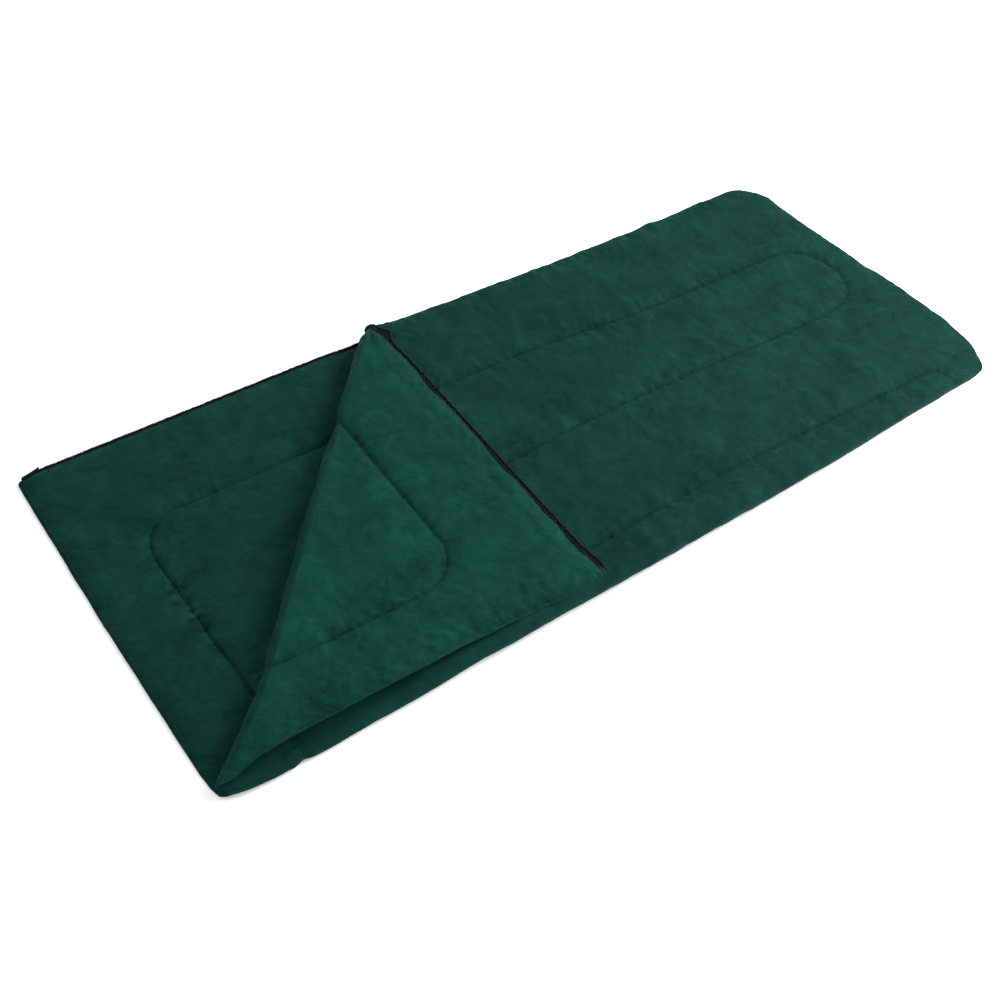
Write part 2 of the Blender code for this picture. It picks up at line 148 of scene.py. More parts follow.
def noise(x, y, seed):
    """Smooth gradient noise, about -1 to 1, on arrays."""
    x, y = np.broadcast_arrays(np.asarray(x, float), np.asarray(y, float))
    column, row = np.floor(x).astype(np.int64), np.floor(y).astype(np.int64)
    fx, fy = x - column, y - row
    sx, sy = fx * fx * fx * (fx * (fx * 6 - 15) + 10), fy * fy * fy * (fy * (fy * 6 - 15) + 10)

    def corner(i, j):
        angle = lattice_angle(column + i, row + j, seed)
        return np.cos(angle) * (fx - i) + np.sin(angle) * (fy - j)

    low = corner(0, 0) * (1 - sx) + corner(1, 0) * sx
    high = corner(0, 1) * (1 - sx) + corner(1, 1) * sx
    return (low * (1 - sy) + high * sy) * 1.5


def layered(x, y, seed, octaves=3, gain=0.5):
    total = 0.0
    for octave in range(octaves):
        total = total + gain**octave * noise(x * 2**octave, y * 2**octave, seed + 31 * octave)
    return total


def smoothstep(value, low, high):
    t = np.clip((value - low) / (high - low), 0.0, 1.0)
    return t * t * (3 - 2 * t)


def bell(value, width):
    return np.exp(-((value / width) ** 2))


def hump(value, top):
    """A rise from 0 to 1 at top, and a slower fall."""
    return value / top * np.exp(1 - value / top)


# ---------------------------------------------------------------- outlines and seams
def arc(centre, radius, start, end, steps=16):
    turns = np.radians(np.linspace(start, end, steps + 1))
    radius = np.broadcast_to(radius, 2)
    return np.stack([centre[0] + radius[0] * np.cos(turns), centre[1] + radius[1] * np.sin(turns)], 1)


def polyline(*pieces):
    return np.concatenate([np.atleast_2d(np.array(piece, float)) for piece in pieces])


def path_lengths(path):
    return np.r_[0.0, np.cumsum(np.linalg.norm(np.diff(path, axis=0), axis=1))]


def on_path(path, places, lengths=None):
    lengths = path_lengths(path) if lengths is None else lengths
    return np.stack([np.interp(places, lengths, axis) for axis in path.T], -1)


def dense_near(count, reach, places=(), width=0.014):
    """Steps from 0 to 1 that are about three times finer at both ends and near some places."""
    fine = np.linspace(0, 1, 4001)
    density = 1 + 2.2 * (np.exp(-fine / reach) + np.exp(-(1 - fine) / reach))
    for where in places:
        density = density + 2.6 * bell(fine - where, width)
    total = np.r_[0.0, np.cumsum((density[1:] + density[:-1]) / 2)]
    return np.interp(np.linspace(0, total[-1], count + 1), total, fine)


ALONG = dense_near(COLUMNS, 0.012, [0.068], 0.008)
SEAM_SHARES = [(y - Y_FOLD) / CREASE_LENGTH for y in (FAR_SEAM, MID_SEAM, NEAR_SEAM)]
ACROSS = dense_near(ROWS, 0.025, SEAM_SHARES, 0.016)
ALONG_FLAP = dense_near(FLAP_COLUMNS, 0.022)


def spaced(path, steps):
    lengths = path_lengths(path)
    return on_path(path, steps * lengths[-1], lengths)


def to_path(x, y, path):
    """Distance from points to a path, and how far along it the nearest place is."""
    best = np.full(x.shape, 1e9)
    along = np.zeros(x.shape)
    travelled = 0.0
    for (ax, ay), (bx, by) in zip(path[:-1], path[1:]):
        dx, dy = bx - ax, by - ay
        length = math.hypot(dx, dy)
        if length < 1e-9:
            continue
        t = np.clip(((x - ax) * dx + (y - ay) * dy) / length**2, 0.0, 1.0)
        away = np.hypot(x - ax - t * dx, y - ay - t * dy)
        nearer = away < best
        best = np.where(nearer, away, best)
        along = np.where(nearer, travelled + t * length, along)
        travelled += length
    return best, along


def far_seam_y(x):
    """The zip side's seam wanders a little along the bag."""
    return FAR_SEAM + 0.014 * (1 - smoothstep(x, -0.45, 0.25)) - 0.020 * smoothstep(x, 0.05, 0.4)


def mid_seam_y(x):
    return MID_SEAM + 0.004 * np.sin(x * 7.0) + 0.008 * bell(x - 0.05, 0.25)


def near_seam_y(x):
    return NEAR_SEAM + 0.007 * np.sin(x * 5.0 + 0.6)


def seam_line():
    """The quilting seam: across the head end, down the bag and back in three runs."""
    foot_turn = (far_seam_y(X_FOOT_SEAM) - MID_SEAM) / 2
    head_turn = (MID_SEAM - NEAR_SEAM) / 2
    end_turn = 0.036
    first = np.linspace(X_HEAD_SEAM + HEAD_CORNER_SEAM, X_FOOT_SEAM - foot_turn, 40)
    middle = np.linspace(X_FOOT_SEAM - foot_turn, TURN_X + head_turn, 34)[1:-1]
    last = np.linspace(TURN_X + head_turn, X_FOOT_SEAM - 2 * end_turn, 34)[1:]
    far_y, last_y = far_seam_y(first), near_seam_y(last[-1])
    foot_y, foot_rise = (far_y[-1] + MID_SEAM) / 2, (far_y[-1] - MID_SEAM) / 2
    corner = (first[0], far_y[0] - HEAD_CORNER_SEAM)
    return polyline(
        [(X_HEAD_SEAM + 0.022, Y_FOLD - BELOW_FOLD), (X_HEAD_SEAM + 0.020, Y_FOLD)],
        [(X_HEAD_SEAM + 0.012, Y_FOLD + 0.11), (X_HEAD_SEAM + 0.003, -0.08)],
        arc(corner, HEAD_CORNER_SEAM, 180, 90),
        np.stack([first, far_y], 1)[1:],
        arc((first[-1], foot_y), (foot_turn, foot_rise), 90, -90, 24)[1:],
        np.stack([middle, mid_seam_y(middle)], 1),
        arc((TURN_X + head_turn, MID_SEAM - head_turn), head_turn, 90, 270, 24),
        np.stack([last, near_seam_y(last)], 1),
        arc((last[-1], last_y - end_turn), end_turn, 90, 0)[1:],
        [(last[-1] + end_turn, Y_FOLD), (last[-1] + end_turn, Y_FOLD - BELOW_FOLD)],
    )


def hem_line():
    """The bag's open edge: head hem, zip side, foot end, and on below the side fold."""
    foot = np.linspace(Y_ZIP - FAR_FOOT_RADIUS, -0.285, 14)
    slant = 0.005 * smoothstep(-foot, -0.30, -0.15) + NEAR_FOOT_REACH * smoothstep(-foot, -0.20, 0.20)
    foot_x = X_FOOT + slant
    far_x = np.linspace(CREASE_FAR[0], X_FOOT - FAR_FOOT_RADIUS, 24)
    far_y = Y_ZIP - ZIP_SIDE_HOLLOW * np.sin(math.pi * np.linspace(0, 1, 24)) ** 2
    near = (0.034, 0.285 + Y_FOLD)
    head = np.linspace(0, 1, 26)[:-1]
    open_y = Y_ZIP + OPEN_ZIP_SWELL
    head_y = Y_FOLD + 0.045 + (open_y - HEAD_RADIUS - Y_FOLD - 0.045) * head
    open_x = np.linspace(X_HEAD + 0.05, CREASE_FAR[0], 30)[:-1]
    swelling = 1 - smoothstep(open_x, CREASE_FAR[0] - 0.12, CREASE_FAR[0])
    bow = (0.003 + 0.0030 * noise(head * 7.3, 0, 31)) * np.sin(math.pi * head)
    head_x = X_HEAD - HEAD_SLANT * head - bow
    return polyline(
        [(X_HEAD + 0.012, Y_FOLD - BELOW_FOLD), (X_HEAD + 0.007, Y_FOLD)],
        [(X_HEAD + 0.0025, Y_FOLD + 0.018)],
        np.stack([head_x, head_y], 1),
        arc((X_HEAD - HEAD_SLANT + HEAD_RADIUS, open_y - HEAD_RADIUS), HEAD_RADIUS, 180, 90),
        np.stack([open_x, Y_ZIP + OPEN_ZIP_SWELL * swelling], 1),
        np.stack([far_x, far_y], 1),
        arc((X_FOOT - FAR_FOOT_RADIUS, Y_ZIP - FAR_FOOT_RADIUS), FAR_FOOT_RADIUS, 90, 0)[1:],
        np.stack([foot_x, foot], 1)[1:],
        arc((foot_x[-1] - near[0], foot[-1]), (near[0], -near[1]), 0, -88, 12)[1:],
        [(foot_x[-1] - near[0] - 0.01, Y_FOLD - BELOW_FOLD)],
    )


SEAM_LINE = seam_line()
SEAM_LENGTHS = path_lengths(SEAM_LINE)
HEM_LINE = hem_line()
HEM_LENGTHS = path_lengths(HEM_LINE)


def hem_place(x, y):
    """How far along the hem the place nearest to (x, y) is."""
    return float(to_path(np.array([x]), np.array([y]), HEM_LINE)[1][0])


def hem_normals():
    """The hem's outward direction, smoothed over its corners."""
    places = np.linspace(0, HEM_LENGTHS[-1], 900)
    ahead = on_path(HEM_LINE, np.minimum(places + 0.006, HEM_LENGTHS[-1]), HEM_LENGTHS)
    behind = on_path(HEM_LINE, np.maximum(places - 0.006, 0), HEM_LENGTHS)
    tangent = ahead - behind
    tangent /= np.linalg.norm(tangent, axis=1, keepdims=True)
    return places, np.stack([-tangent[:, 1], tangent[:, 0]], 1)


NORMAL_PLACES, NORMALS = hem_normals()
HEM_START = BELOW_FOLD
HEAD_MIDDLE = hem_place(X_HEAD - HEAD_SLANT, Y_ZIP + OPEN_ZIP_SWELL)
ZIP_START = hem_place(X_HEAD - HEAD_SLANT + HEAD_RADIUS, Y_ZIP + OPEN_ZIP_SWELL)
CREASE_RUN = hem_place(*CREASE_FAR)
FAR_MIDDLE = hem_place(X_FOOT, Y_ZIP)
ZIP_END = hem_place(X_FOOT + NEAR_FOOT_REACH, ZIP_END_Y)
NEAR_FOOT_X = float(np.interp(-Y_FOLD, -HEM_LINE[-8:, 1], HEM_LINE[-8:, 0]))
HEM_END = hem_place(NEAR_FOOT_X, Y_FOLD)


def outward(run):
    return np.stack([np.interp(run, NORMAL_PLACES, axis) for axis in NORMALS.T], -1)


def hem_stretch(start, end, steps):
    return on_path(HEM_LINE, start + (end - start) * steps, HEM_LENGTHS)


def coons(bottom, top, left, right, along, across):
    """A grid of points filled in between four boundary curves."""
    s, t = along[None, :, None], across[:, None, None]
    between = (1 - t) * bottom[None] + t * top[None] + (1 - s) * left[:, None] + s * right[:, None]
    corners = (1 - s) * (1 - t) * bottom[0] + s * (1 - t) * bottom[-1]
    return between - corners - (1 - s) * t * top[0] - s * t * top[-1]


def crease_line(side):
    """The edge of the cover (side 1) or of the free corner (side -1) beside the crease's roll."""
    line = spaced(polyline(CREASE[:2], CREASE_FAR), ACROSS)
    near_fold = hump(ACROSS, 0.15) * (1 - ACROSS)
    drawn = CREASE_DRAWN * np.sin(math.pi * ACROSS) ** 0.8 + CREASE_SLACK * near_fold
    return line - side * drawn[:, None] * ACROSS_CREASE


def filled_plan(left, right, top, along):
    """A quilt's plan between its two ends and its zip side; its fold side is straight."""
    bottom = spaced(polyline(left[:1], right[:1]), along)
    return coons(bottom, top, left, right, along, ACROSS)


def lower_plan():
    left, right = hem_stretch(HEM_START, HEAD_MIDDLE, ACROSS), hem_stretch(HEM_END, FAR_MIDDLE, ACROSS)
    return filled_plan(left, right, hem_stretch(HEAD_MIDDLE, FAR_MIDDLE, ALONG), ALONG)


def upper_plan():
    left, right = crease_line(1), hem_stretch(HEM_END, FAR_MIDDLE, ACROSS)
    return filled_plan(left, right, hem_stretch(CREASE_RUN, FAR_MIDDLE, ALONG), ALONG)


def flap_plan():
    left, right = hem_stretch(HEM_START, HEAD_MIDDLE, ACROSS), crease_line(-1)
    return filled_plan(left, right, hem_stretch(HEAD_MIDDLE, CREASE_RUN, ALONG_FLAP), ALONG_FLAP)


# ---------------------------------------------------------------- simulated cloth
def add_object(name, data):
    obj = bpy.data.objects.new(name, data)
    bpy.context.scene.collection.objects.link(obj)
    return obj


def grid_faces(rows, columns, flip=False, start=0):
    index = np.arange(rows * columns).reshape(rows, columns) + start
    quads = np.stack([index[:-1, :-1], index[:-1, 1:], index[1:, 1:], index[1:, :-1]], -1)
    quads = quads.reshape(-1, 4)
    return quads[:, ::-1] if flip else quads


def settle_sheet(seed):
    """A sheet cut a little too large, stitched down along its seams and hem, blown up from below.

    Returns only its wrinkles: the height above its own smoothed surface, on an even grid.
    """
    columns = round((X_FOOT + NEAR_FOOT_REACH - X_HEAD) / SHEET_STEP) + 1
    rows = round((Y_ZIP - Y_FOLD + BELOW_FOLD) / SHEET_STEP) + 1
    x, y = np.meshgrid(
        np.linspace(X_HEAD, X_FOOT + NEAR_FOOT_REACH, columns),
        np.linspace(Y_FOLD - BELOW_FOLD, Y_ZIP, rows),
    )
    from_seam, from_hem = to_path(x, y, SEAM_LINE)[0], to_path(x, y, HEM_LINE)[0]
    held = (from_seam < 0.62 * SHEET_STEP) | (from_hem < 0.9 * SHEET_STEP)
    held[0] = True
    z = np.where(held, 0.0, 0.0006 * layered(x / 0.03, y / 0.03, seed, 2))
    mesh = bpy.data.meshes.new("sheet")
    verts = np.stack([x, y, z], -1).reshape(-1, 3)
    mesh.from_pydata(verts.tolist(), [], grid_faces(rows, columns).tolist())
    sheet, scene = add_object("sheet", mesh), bpy.context.scene
    group = sheet.vertex_groups.new(name="held")
    group.add([int(i) for i in np.flatnonzero(held.ravel())], 1.0, "REPLACE")
    cloth = sheet.modifiers.new("cloth", "CLOTH")
    settings = cloth.settings
    settings.quality = 5
    settings.mass = 0.15
    settings.tension_stiffness = settings.compression_stiffness = 15
    settings.shear_stiffness = 7.5
    settings.bending_stiffness = 0.2
    settings.tension_damping = settings.compression_damping = settings.shear_damping = 10
    settings.bending_damping = 1
    settings.air_damping = 2
    settings.vertex_group_mass = "held"
    settings.shrink_min = settings.shrink_max = -0.02
    settings.use_pressure = True
    settings.uniform_pressure_force = 1.6
    settings.effector_weights.gravity = 0
    cloth.point_cache.frame_start, cloth.point_cache.frame_end = 1, SHEET_FRAMES
    scene.frame_start, scene.frame_end = 1, SHEET_FRAMES
    for step in range(1, SHEET_FRAMES + 1):
        scene.frame_set(step)
    settled = sheet.evaluated_get(bpy.context.evaluated_depsgraph_get())
    shape = settled.to_mesh()
    found = np.zeros(3 * rows * columns, np.float32)
    shape.vertices.foreach_get("co", found)
    settled.to_mesh_clear()
    bpy.data.objects.remove(sheet)
    bpy.data.meshes.remove(mesh)
    scene.frame_set(1)
    height = found.reshape(rows, columns, 3)[..., 2].astype(float)
    return height - smoothed(height, 0.016)


def smoothed(height, width):
    reach = int(3 * width / SHEET_STEP)
    weights = np.exp(-0.5 * (np.arange(-reach, reach + 1) * SHEET_STEP / width) ** 2)
    weights /= weights.sum()
    for axis in (0, 1):
        padded = np.pad(height, [(reach, reach) if axis == a else (0, 0) for a in (0, 1)], "edge")
        size = height.shape[axis]
        height = sum(w * np.take(padded, range(i, i + size), axis) for i, w in enumerate(weights))
    return height


def sampled(sheet, x, y):
    """The sheet's wrinkles at (x, y), between its grid points."""
    column = np.clip((x - X_HEAD) / SHEET_STEP, 0, sheet.shape[1] - 1.001)
    row = np.clip((y - Y_FOLD + BELOW_FOLD) / SHEET_STEP, 0, sheet.shape[0] - 1.001)
    i, j = column.astype(int), row.astype(int)
    u, v = column - i, row - j
    low = sheet[j, i] * (1 - u) + sheet[j, i + 1] * u
    return low * (1 - v) + (sheet[j + 1, i] * (1 - u) + sheet[j + 1, i + 1] * u) * v


SHEETS = [settle_sheet(5), settle_sheet(17)]


# ---------------------------------------------------------------- the quilts' shape over (x, y)
LOWER_LINING, LOWER_SHELL, COVER_SHELL, COVER_LINING = 41, 61, 71, 91    # each cloth's own wrinkles


def pillow(distance, reach):
    """Rounded rise from 0 at a seam or hem to 1 at reach."""
    t = np.clip(distance / reach, 0.0, 1.0)
    return np.sqrt(1 - (1 - t) ** 2)


def measure(plan):
    """What the cloth's height depends on at each point: its distances to the seam and the hem."""
    x, y = plan[..., 0], plan[..., 1]
    seam, seam_run = to_path(x, y, SEAM_LINE)
    hem, hem_run = to_path(x, y, HEM_LINE)
    zip_side = smoothstep(hem_run, HEAD_MIDDLE - 0.01, HEAD_MIDDLE + 0.05)
    zip_side = zip_side * (1 - smoothstep(hem_run, ZIP_END - 0.01, ZIP_END + 0.05))
    corner = (1 - smoothstep(NEAR_FOOT_X + 0.03 - x, 0.0, 0.15)) * (1 - smoothstep(y, Y_FOLD, Y_FOLD + 0.12))
    return {
        "x": x, "y": y, "seam": seam, "seam_run": seam_run, "hem": hem, "hem_run": hem_run,
        "zip": zip_side, "foot_corner": corner,
    }


def groove(m):
    """How much of the crown a seam takes: a wide soft dip and a narrow one at the stitches."""
    wide = 1 - pillow(m["seam"], SEAM_REACH)
    narrow = np.exp(-((m["seam"] / 0.0042) ** 1.3))
    flat = 0.30 + 0.70 * smoothstep(m["y"], Y_FOLD - 0.01, Y_FOLD + 0.05)
    return (0.20 * wide + 0.27 * narrow) * flat


def thickness(m):
    full = CROWN * (1 - groove(m))
    full = full + 0.0010 * layered(m["x"] / 0.09, m["y"] / 0.07, 11, 2) * smoothstep(m["seam"], 0, 0.03)
    flange = 0.003 * (1 - m["zip"])
    rise = pillow(np.maximum(m["hem"] - flange, 0.0), HEM_REACH)
    return HEM + (full - HEM) * rise


def swell(m):
    """Large soft undulation."""
    broad = 0.0013 * layered(m["x"] / 0.17, m["y"] / 0.11, 3, 2)
    return broad * smoothstep(m["hem"], 0.0, 0.06)


def star(m, centre, seed):
    """Creases that run out from a point, as from a corner where the cloth is bunched."""
    dx, dy = m["x"] - centre[0], m["y"] - centre[1]
    away, angle = np.hypot(dx, dy), np.arctan2(dy, dx)
    rays = 1 - 2.2 * np.abs(noise(angle * 3.4 + 0.4 * noise(away / 0.03, 0, seed + 1), away / 0.09, seed))
    return rays * smoothstep(away, 0.0, 0.018) * bell(away, 0.075)


def head_gather(m, seed):
    """Where the head end's seam is gathered: only on the open half of the bag."""
    share = 1.0 if seed == LOWER_LINING else 0.1
    return share * bell(m["x"] - X_HEAD_SEAM, 0.05) * bell(m["y"] + 0.03, 0.11)


def relief(m, sheet, seed):
    """Wrinkles: simulated ones, gathers at the seams and the hem, and soft creases between."""
    sim = sampled(SHEETS[sheet], m["x"], m["y"])
    near = np.exp(-m["seam"] / 0.03) + np.exp(-m["hem"] / 0.03)
    out = 1.3 * sim * (0.22 + 0.78 * np.clip(near, 0, 1))
    head_seam = head_gather(m, seed)
    near_seam = np.exp(-m["seam"] / 0.012) * smoothstep(m["seam"], 0.0, 0.003)
    out = out + (0.0017 + 0.0042 * head_seam) * near_seam * noise(m["seam_run"] / 0.011, m["seam"] / 0.05, seed)
    slant = m["hem_run"] + m["hem"]
    near_hem = np.exp(-m["hem"] / 0.020) * smoothstep(m["hem"], 0.0, 0.006)
    out = out + (0.0007 + 0.0021 * m["zip"]) * near_hem * noise(slant / 0.013, m["hem"] / 0.06, seed + 1)
    bend = 0.05 * noise(m["x"] / 0.12, m["y"] / 0.12, seed + 2)
    ridges = 1 - np.abs(noise((m["x"] + bend) / 0.070, (m["y"] - bend) / 0.033, seed + 3))
    out = out + 0.0013 * (ridges**3 - 0.3) + 0.00012 * layered(m["x"] / 0.020, m["y"] / 0.015, seed + 4, 2)
    out = out + 0.0040 * star(m, CREASE_FAR, seed + 5) + 0.0022 * star(m, CREASE[:2] + 0.01, seed + 6)
    return out * smoothstep(m["hem"], 0.0, 0.012)


def corner_peak(m):
    """The cloth rises a little where the free corner's crease meets the zip."""
    away = np.hypot(m["x"] - CREASE_FAR[0], m["y"] - CREASE_FAR[1])
    return 0.0095 * bell(away, 0.045)


def lower_heights(m):
    """Heights of the lower quilt's outer shell and lining."""
    thick = thickness(m)
    head = 1 - smoothstep(m["x"], X_HEAD, X_HEAD + 0.09)
    lift = 0.55 + 0.45 * m["foot_corner"] - 0.40 * head * (1 - m["zip"])
    bottom = (CROWN - thick) * lift
    lining = bottom + thick + swell(m) + relief(m, 0, LOWER_LINING)
    away = smoothstep(m["y"], Y_FOLD, Y_FOLD + 0.03)
    shell = np.maximum(bottom - 0.35 * away * relief(m, 1, LOWER_SHELL), 0.0002)
    return shell, np.minimum(lining, Z_MIDDLE - 0.0004)


def upper_heights(m):
    """Heights of the upper quilt's outer shell and lining, closed."""
    thick = thickness(m)
    rise = (CROWN - thick) * 0.45 * (1 - m["foot_corner"])
    base = Z_MIDDLE + LAYER_GAP + rise + corner_peak(m)
    lining = base - relief(m, 1, COVER_LINING)
    shell = base + thick + swell(m) + relief(m, 0, COVER_SHELL)
    return shell, np.maximum(lining, Z_MIDDLE + 0.0004)


def hem_shift(m, shell):
    """Outward move that rounds the outer shell's edge over the zip's seam."""
    d = m["hem"]
    uneven = 0.85 + 0.42 * noise(m["hem_run"] / 0.050, 0, 83) + 0.38 * noise(m["hem_run"] / 0.12, 0, 84)
    amount = m["zip"] * (EDGE_BULGE * uneven * hump(d, 0.010) if shell else -0.3 * np.minimum(d, 0.004))
    return amount[..., None] * outward(m["hem_run"])


def press(x, y):
    """How far the bag is pressed down: 1 where it isn't, less at the head end of its fold and the foot."""
    away = np.hypot(x - X_HEAD, (y - Y_FOLD) * 0.8)
    from_foot = np.hypot(x - NEAR_FOOT_X, y - Y_FOLD)
    flat = (1 - 0.34 * (1 - smoothstep(away, 0.0, 0.14))) * (1 - 0.20 * smoothstep(x, 0.05, 0.85))
    return flat * (1 - 0.42 * (1 - smoothstep(from_foot, 0.0, 0.16)))


def dent(x, y):
    """How much lower the cover lies along its fold, where the free corner's edge stands off it."""
    along = smoothstep(x, X_HEAD - 0.01, X_HEAD + 0.13) * (1 - smoothstep(x, -0.72, -0.30))
    return 1 - 0.55 * along * (1 - smoothstep(y, Y_FOLD - 0.005, Y_FOLD + 0.065))


def place(m, height, shell):
    """Points of a flat-lying surface from its heights."""
    plan = np.stack([m["x"], m["y"]], -1) + hem_shift(m, shell)
    z = height * press(plan[..., 0], plan[..., 1]) * dent(plan[..., 0], plan[..., 1])
    return np.concatenate([plan, z[..., None]], -1)


def turn_over(closed):
    """Turn closed points half round the crease's axis: how the free corner lies at rest."""
    x = CREASE[0] + closed[..., 1] - CREASE[1]
    y = CREASE[1] + closed[..., 0] - CREASE[0]
    return np.stack([x, y, 2 * Z_CREASE - closed[..., 2]], -1)


def cover_top(x, y):
    """Height of the cover, and of the side fold's roll beside it, under the folded corner."""
    m = measure(np.stack([x, np.maximum(y, Y_FOLD)], -1))
    shell = upper_heights(m)[0]
    over = np.clip(Y_FOLD - y, 0.0, Z_MIDDLE)
    return shell - (Z_MIDDLE - np.sqrt(Z_MIDDLE**2 - over**2))


def flap_fall(m):
    """How far the free corner's cloth sinks at rest, until it lies on the cover."""
    rest = turn_over(np.stack([m["x"], m["y"], upper_heights(m)[0]], -1))
    x, y, shell = rest[..., 0], rest[..., 1], rest[..., 2]
    near = 1 - smoothstep(y - (CREASE[1] + X_HEAD - CREASE[0]), 0.0, 0.07)
    side = 1 - smoothstep(CREASE[0] + CREASE_LENGTH - x, 0.0, 0.06)
    drop = np.maximum((0.002 + 0.012 * smoothstep(x, -0.75, -0.2)) * near, 0.010 * side)
    from_crease = np.abs((x - CREASE[0]) - (y - CREASE[1])) / math.sqrt(2)
    fallen = np.maximum(shell - drop, cover_top(x, y) + 0.0008)
    return (fallen - shell) * smoothstep(from_crease, 0.0, 0.06)


def settle_flap(closed, fall):
    points = turn_over(closed)
    x, y = points[..., 0], points[..., 1]
    near = 1 - smoothstep(y - (CREASE[1] + X_HEAD - CREASE[0]), 0.0, 0.09)
    from_corner = smoothstep(x, X_HEAD + 0.01, X_HEAD + 0.08)
    slant = HEAD_SLANT * (x - CREASE[0]) / CREASE_LENGTH
    pulled = near * (slant + 0.012 * from_corner * (1 - smoothstep(x, -0.50, -0.20)))
    z = (points[..., 2] + fall) * press(x, y)
    from_tip = (x - CREASE[0] - CREASE_LENGTH) ** 2 + (y - CREASE[1] - X_HEAD + CREASE[0]) ** 2
    tip = np.exp(-(from_tip / 0.055**2))
    return np.stack([x + 0.008 * tip, y + pulled - 0.004 * tip, z - 0.006 * tip], -1)


def flap_points(m, height, shell):
    """Points of the free corner at rest."""
    plan = np.stack([m["x"], m["y"]], -1) + hem_shift(m, shell)
    return settle_flap(np.concatenate([plan, height[..., None]], -1), flap_fall(m))


# ---------------------------------------------------------------- meshes
def painted_crease_shade(m, seed):
    """1 where stitches press the cloth down and the nap lies dark, 0 away from them."""
    # Painted shade: 1 in the stitched groove of a seam, less in the hem's, plus dark streaks across the puckers
    # and gathers beside them, along soft creases and along the creases that run out from the crease's ends; 0
    # away from them.
    seam = bell(m["seam"], 0.0026)
    hem = 0.7 * (1 - m["zip"]) * bell(m["hem"] - HEM_INSET, 0.0020)
    pucker = np.exp(-m["seam"] / 0.016) * noise(m["seam_run"] / 0.0090, m["seam"] / 0.030, 131)
    gather = np.exp(-m["hem"] / 0.020) * noise((m["hem_run"] + m["hem"]) / 0.010, m["hem"] / 0.05, 132)
    line = layered(m["x"] / 0.045, m["y"] / 0.024 - m["x"] / 0.06, 133, 2)
    patch = smoothstep(noise(m["x"] / 0.10, m["y"] / 0.08, 134), -0.1, 0.5)
    crease = smoothstep(1 - np.abs(line), 0.86, 1.0) * patch
    ray = np.clip(-star(m, CREASE_FAR, 76), 0, 1) + 0.6 * np.clip(-star(m, CREASE[:2] + 0.01, 77), 0, 1)
    gathered = (1.0 + 3.2 * head_gather(m, seed)) * pucker
    # Painted shade: the groove, pucker, gather, crease and ray terms all darken the cloth where it would lie in
    # shade.
    return np.maximum(seam, hem) + gathered + 1.3 * gather + 0.8 * crease + 1.8 * ray


def make_mesh(name, verts, faces, material, uv=None, sewn=None):
    mesh = bpy.data.meshes.new(name)
    mesh.from_pydata(verts.tolist(), [], faces.tolist())
    if uv is not None:
        layer = mesh.uv_layers.new(name="cloth")
        loops = np.zeros(len(mesh.loops), np.int32)
        mesh.loops.foreach_get("vertex_index", loops)
        layer.data.foreach_set("uv", uv[loops].astype(np.float32).ravel())
    # Painted shade of grooves and wrinkles, which the cloth material takes off its tone.
    if sewn is not None:
        mesh.attributes.new("sewn", "FLOAT", "POINT").data.foreach_set("value", sewn.ravel().astype(np.float32))
    return finish_mesh(name, mesh, material)


def finish_mesh(name, mesh, material):
    mesh.shade_smooth()
    mesh.materials.append(material)
    obj = add_object(name, mesh)
    return obj


CLOTHS = []


def cloth_piece(name, surface, flat, material, flip=False, sewn=None):
    """One sheet of cloth from a grid of points, with the flat cloth's metres as its UVs."""
    faces = grid_faces(*surface.shape[:2], flip)
    obj = make_mesh(name, surface.reshape(-1, 3), faces, material, flat.reshape(-1, 2), sewn)
    CLOTHS.append(obj)
    return obj


def turned_edge(name, low, high, bulge, run, width, material):
    """The cloth that closes an edge between two faces, half a turn round it."""
    turns = np.linspace(-math.pi / 2, math.pi / 2, HEM_STEPS)
    middle, half = (low + high) / 2, (high - low) / 2
    surface = np.stack([middle + half * math.sin(t) + bulge * math.cos(t) for t in turns])
    return cloth_piece(name, surface, strip_uv(run, turns * width), material)


def strip_uv(run, across):
    """A strip's flat metres: along it, and across it."""
    along, across = np.meshgrid(run, across)
    return np.stack([along, across], -1)


def join_normals(objects):
    """Give neighbouring sheets the same shading along the edge they share."""
    read, shared = [], {}
    for obj in objects:
        mesh = obj.data
        co = np.zeros(3 * len(mesh.vertices), np.float32)
        mesh.vertices.foreach_get("co", co)
        normals = np.zeros(3 * len(mesh.vertices), np.float32)
        mesh.vertex_normals.foreach_get("vector", normals)
        counts = np.zeros(len(mesh.vertices), int)
        edges = np.array([edge.vertices[:] for edge in mesh.edges])
        faces = np.zeros(len(mesh.edges), int)
        loops = np.zeros(len(mesh.loops), np.int32)
        mesh.loops.foreach_get("edge_index", loops)
        np.add.at(faces, loops, 1)
        np.add.at(counts, edges[faces == 1].ravel(), 1)
        co, normals = co.reshape(-1, 3), normals.reshape(-1, 3).astype(float)
        rim = np.flatnonzero(counts)
        read.append((obj, normals, rim, [tuple(key) for key in np.round(co[rim] / 0.00005).astype(int)]))
        for vertex, key in zip(rim, read[-1][3]):
            shared.setdefault(key, []).append(normals[vertex])
    for obj, normals, rim, keys in read:
        for vertex, key in zip(rim, keys):
            total = sum(other if other @ normals[vertex] >= 0 else -other for other in shared[key])
            normals[vertex] = total / max(np.linalg.norm(total), 1e-9)
        obj.data.normals_split_custom_set_from_vertices([tuple(n) for n in normals])


def closed_pad(name, low, high, material):
    """A stuffed form between two grids, closed round its rim."""
    rows, columns = low.shape[:2]
    verts = np.concatenate([low.reshape(-1, 3), high.reshape(-1, 3)])
    count = rows * columns
    index = np.arange(count).reshape(rows, columns)
    rim = np.concatenate([index[0], index[1:, -1], index[-1, :-1][::-1], index[1:-1, 0][::-1]])
    after = np.roll(rim, -1)
    sides = np.stack([rim, after, after + count, rim + count], 1)
    faces = np.concatenate([grid_faces(rows, columns, True), grid_faces(rows, columns, start=count), sides])
    return make_mesh(name, verts, faces, material)


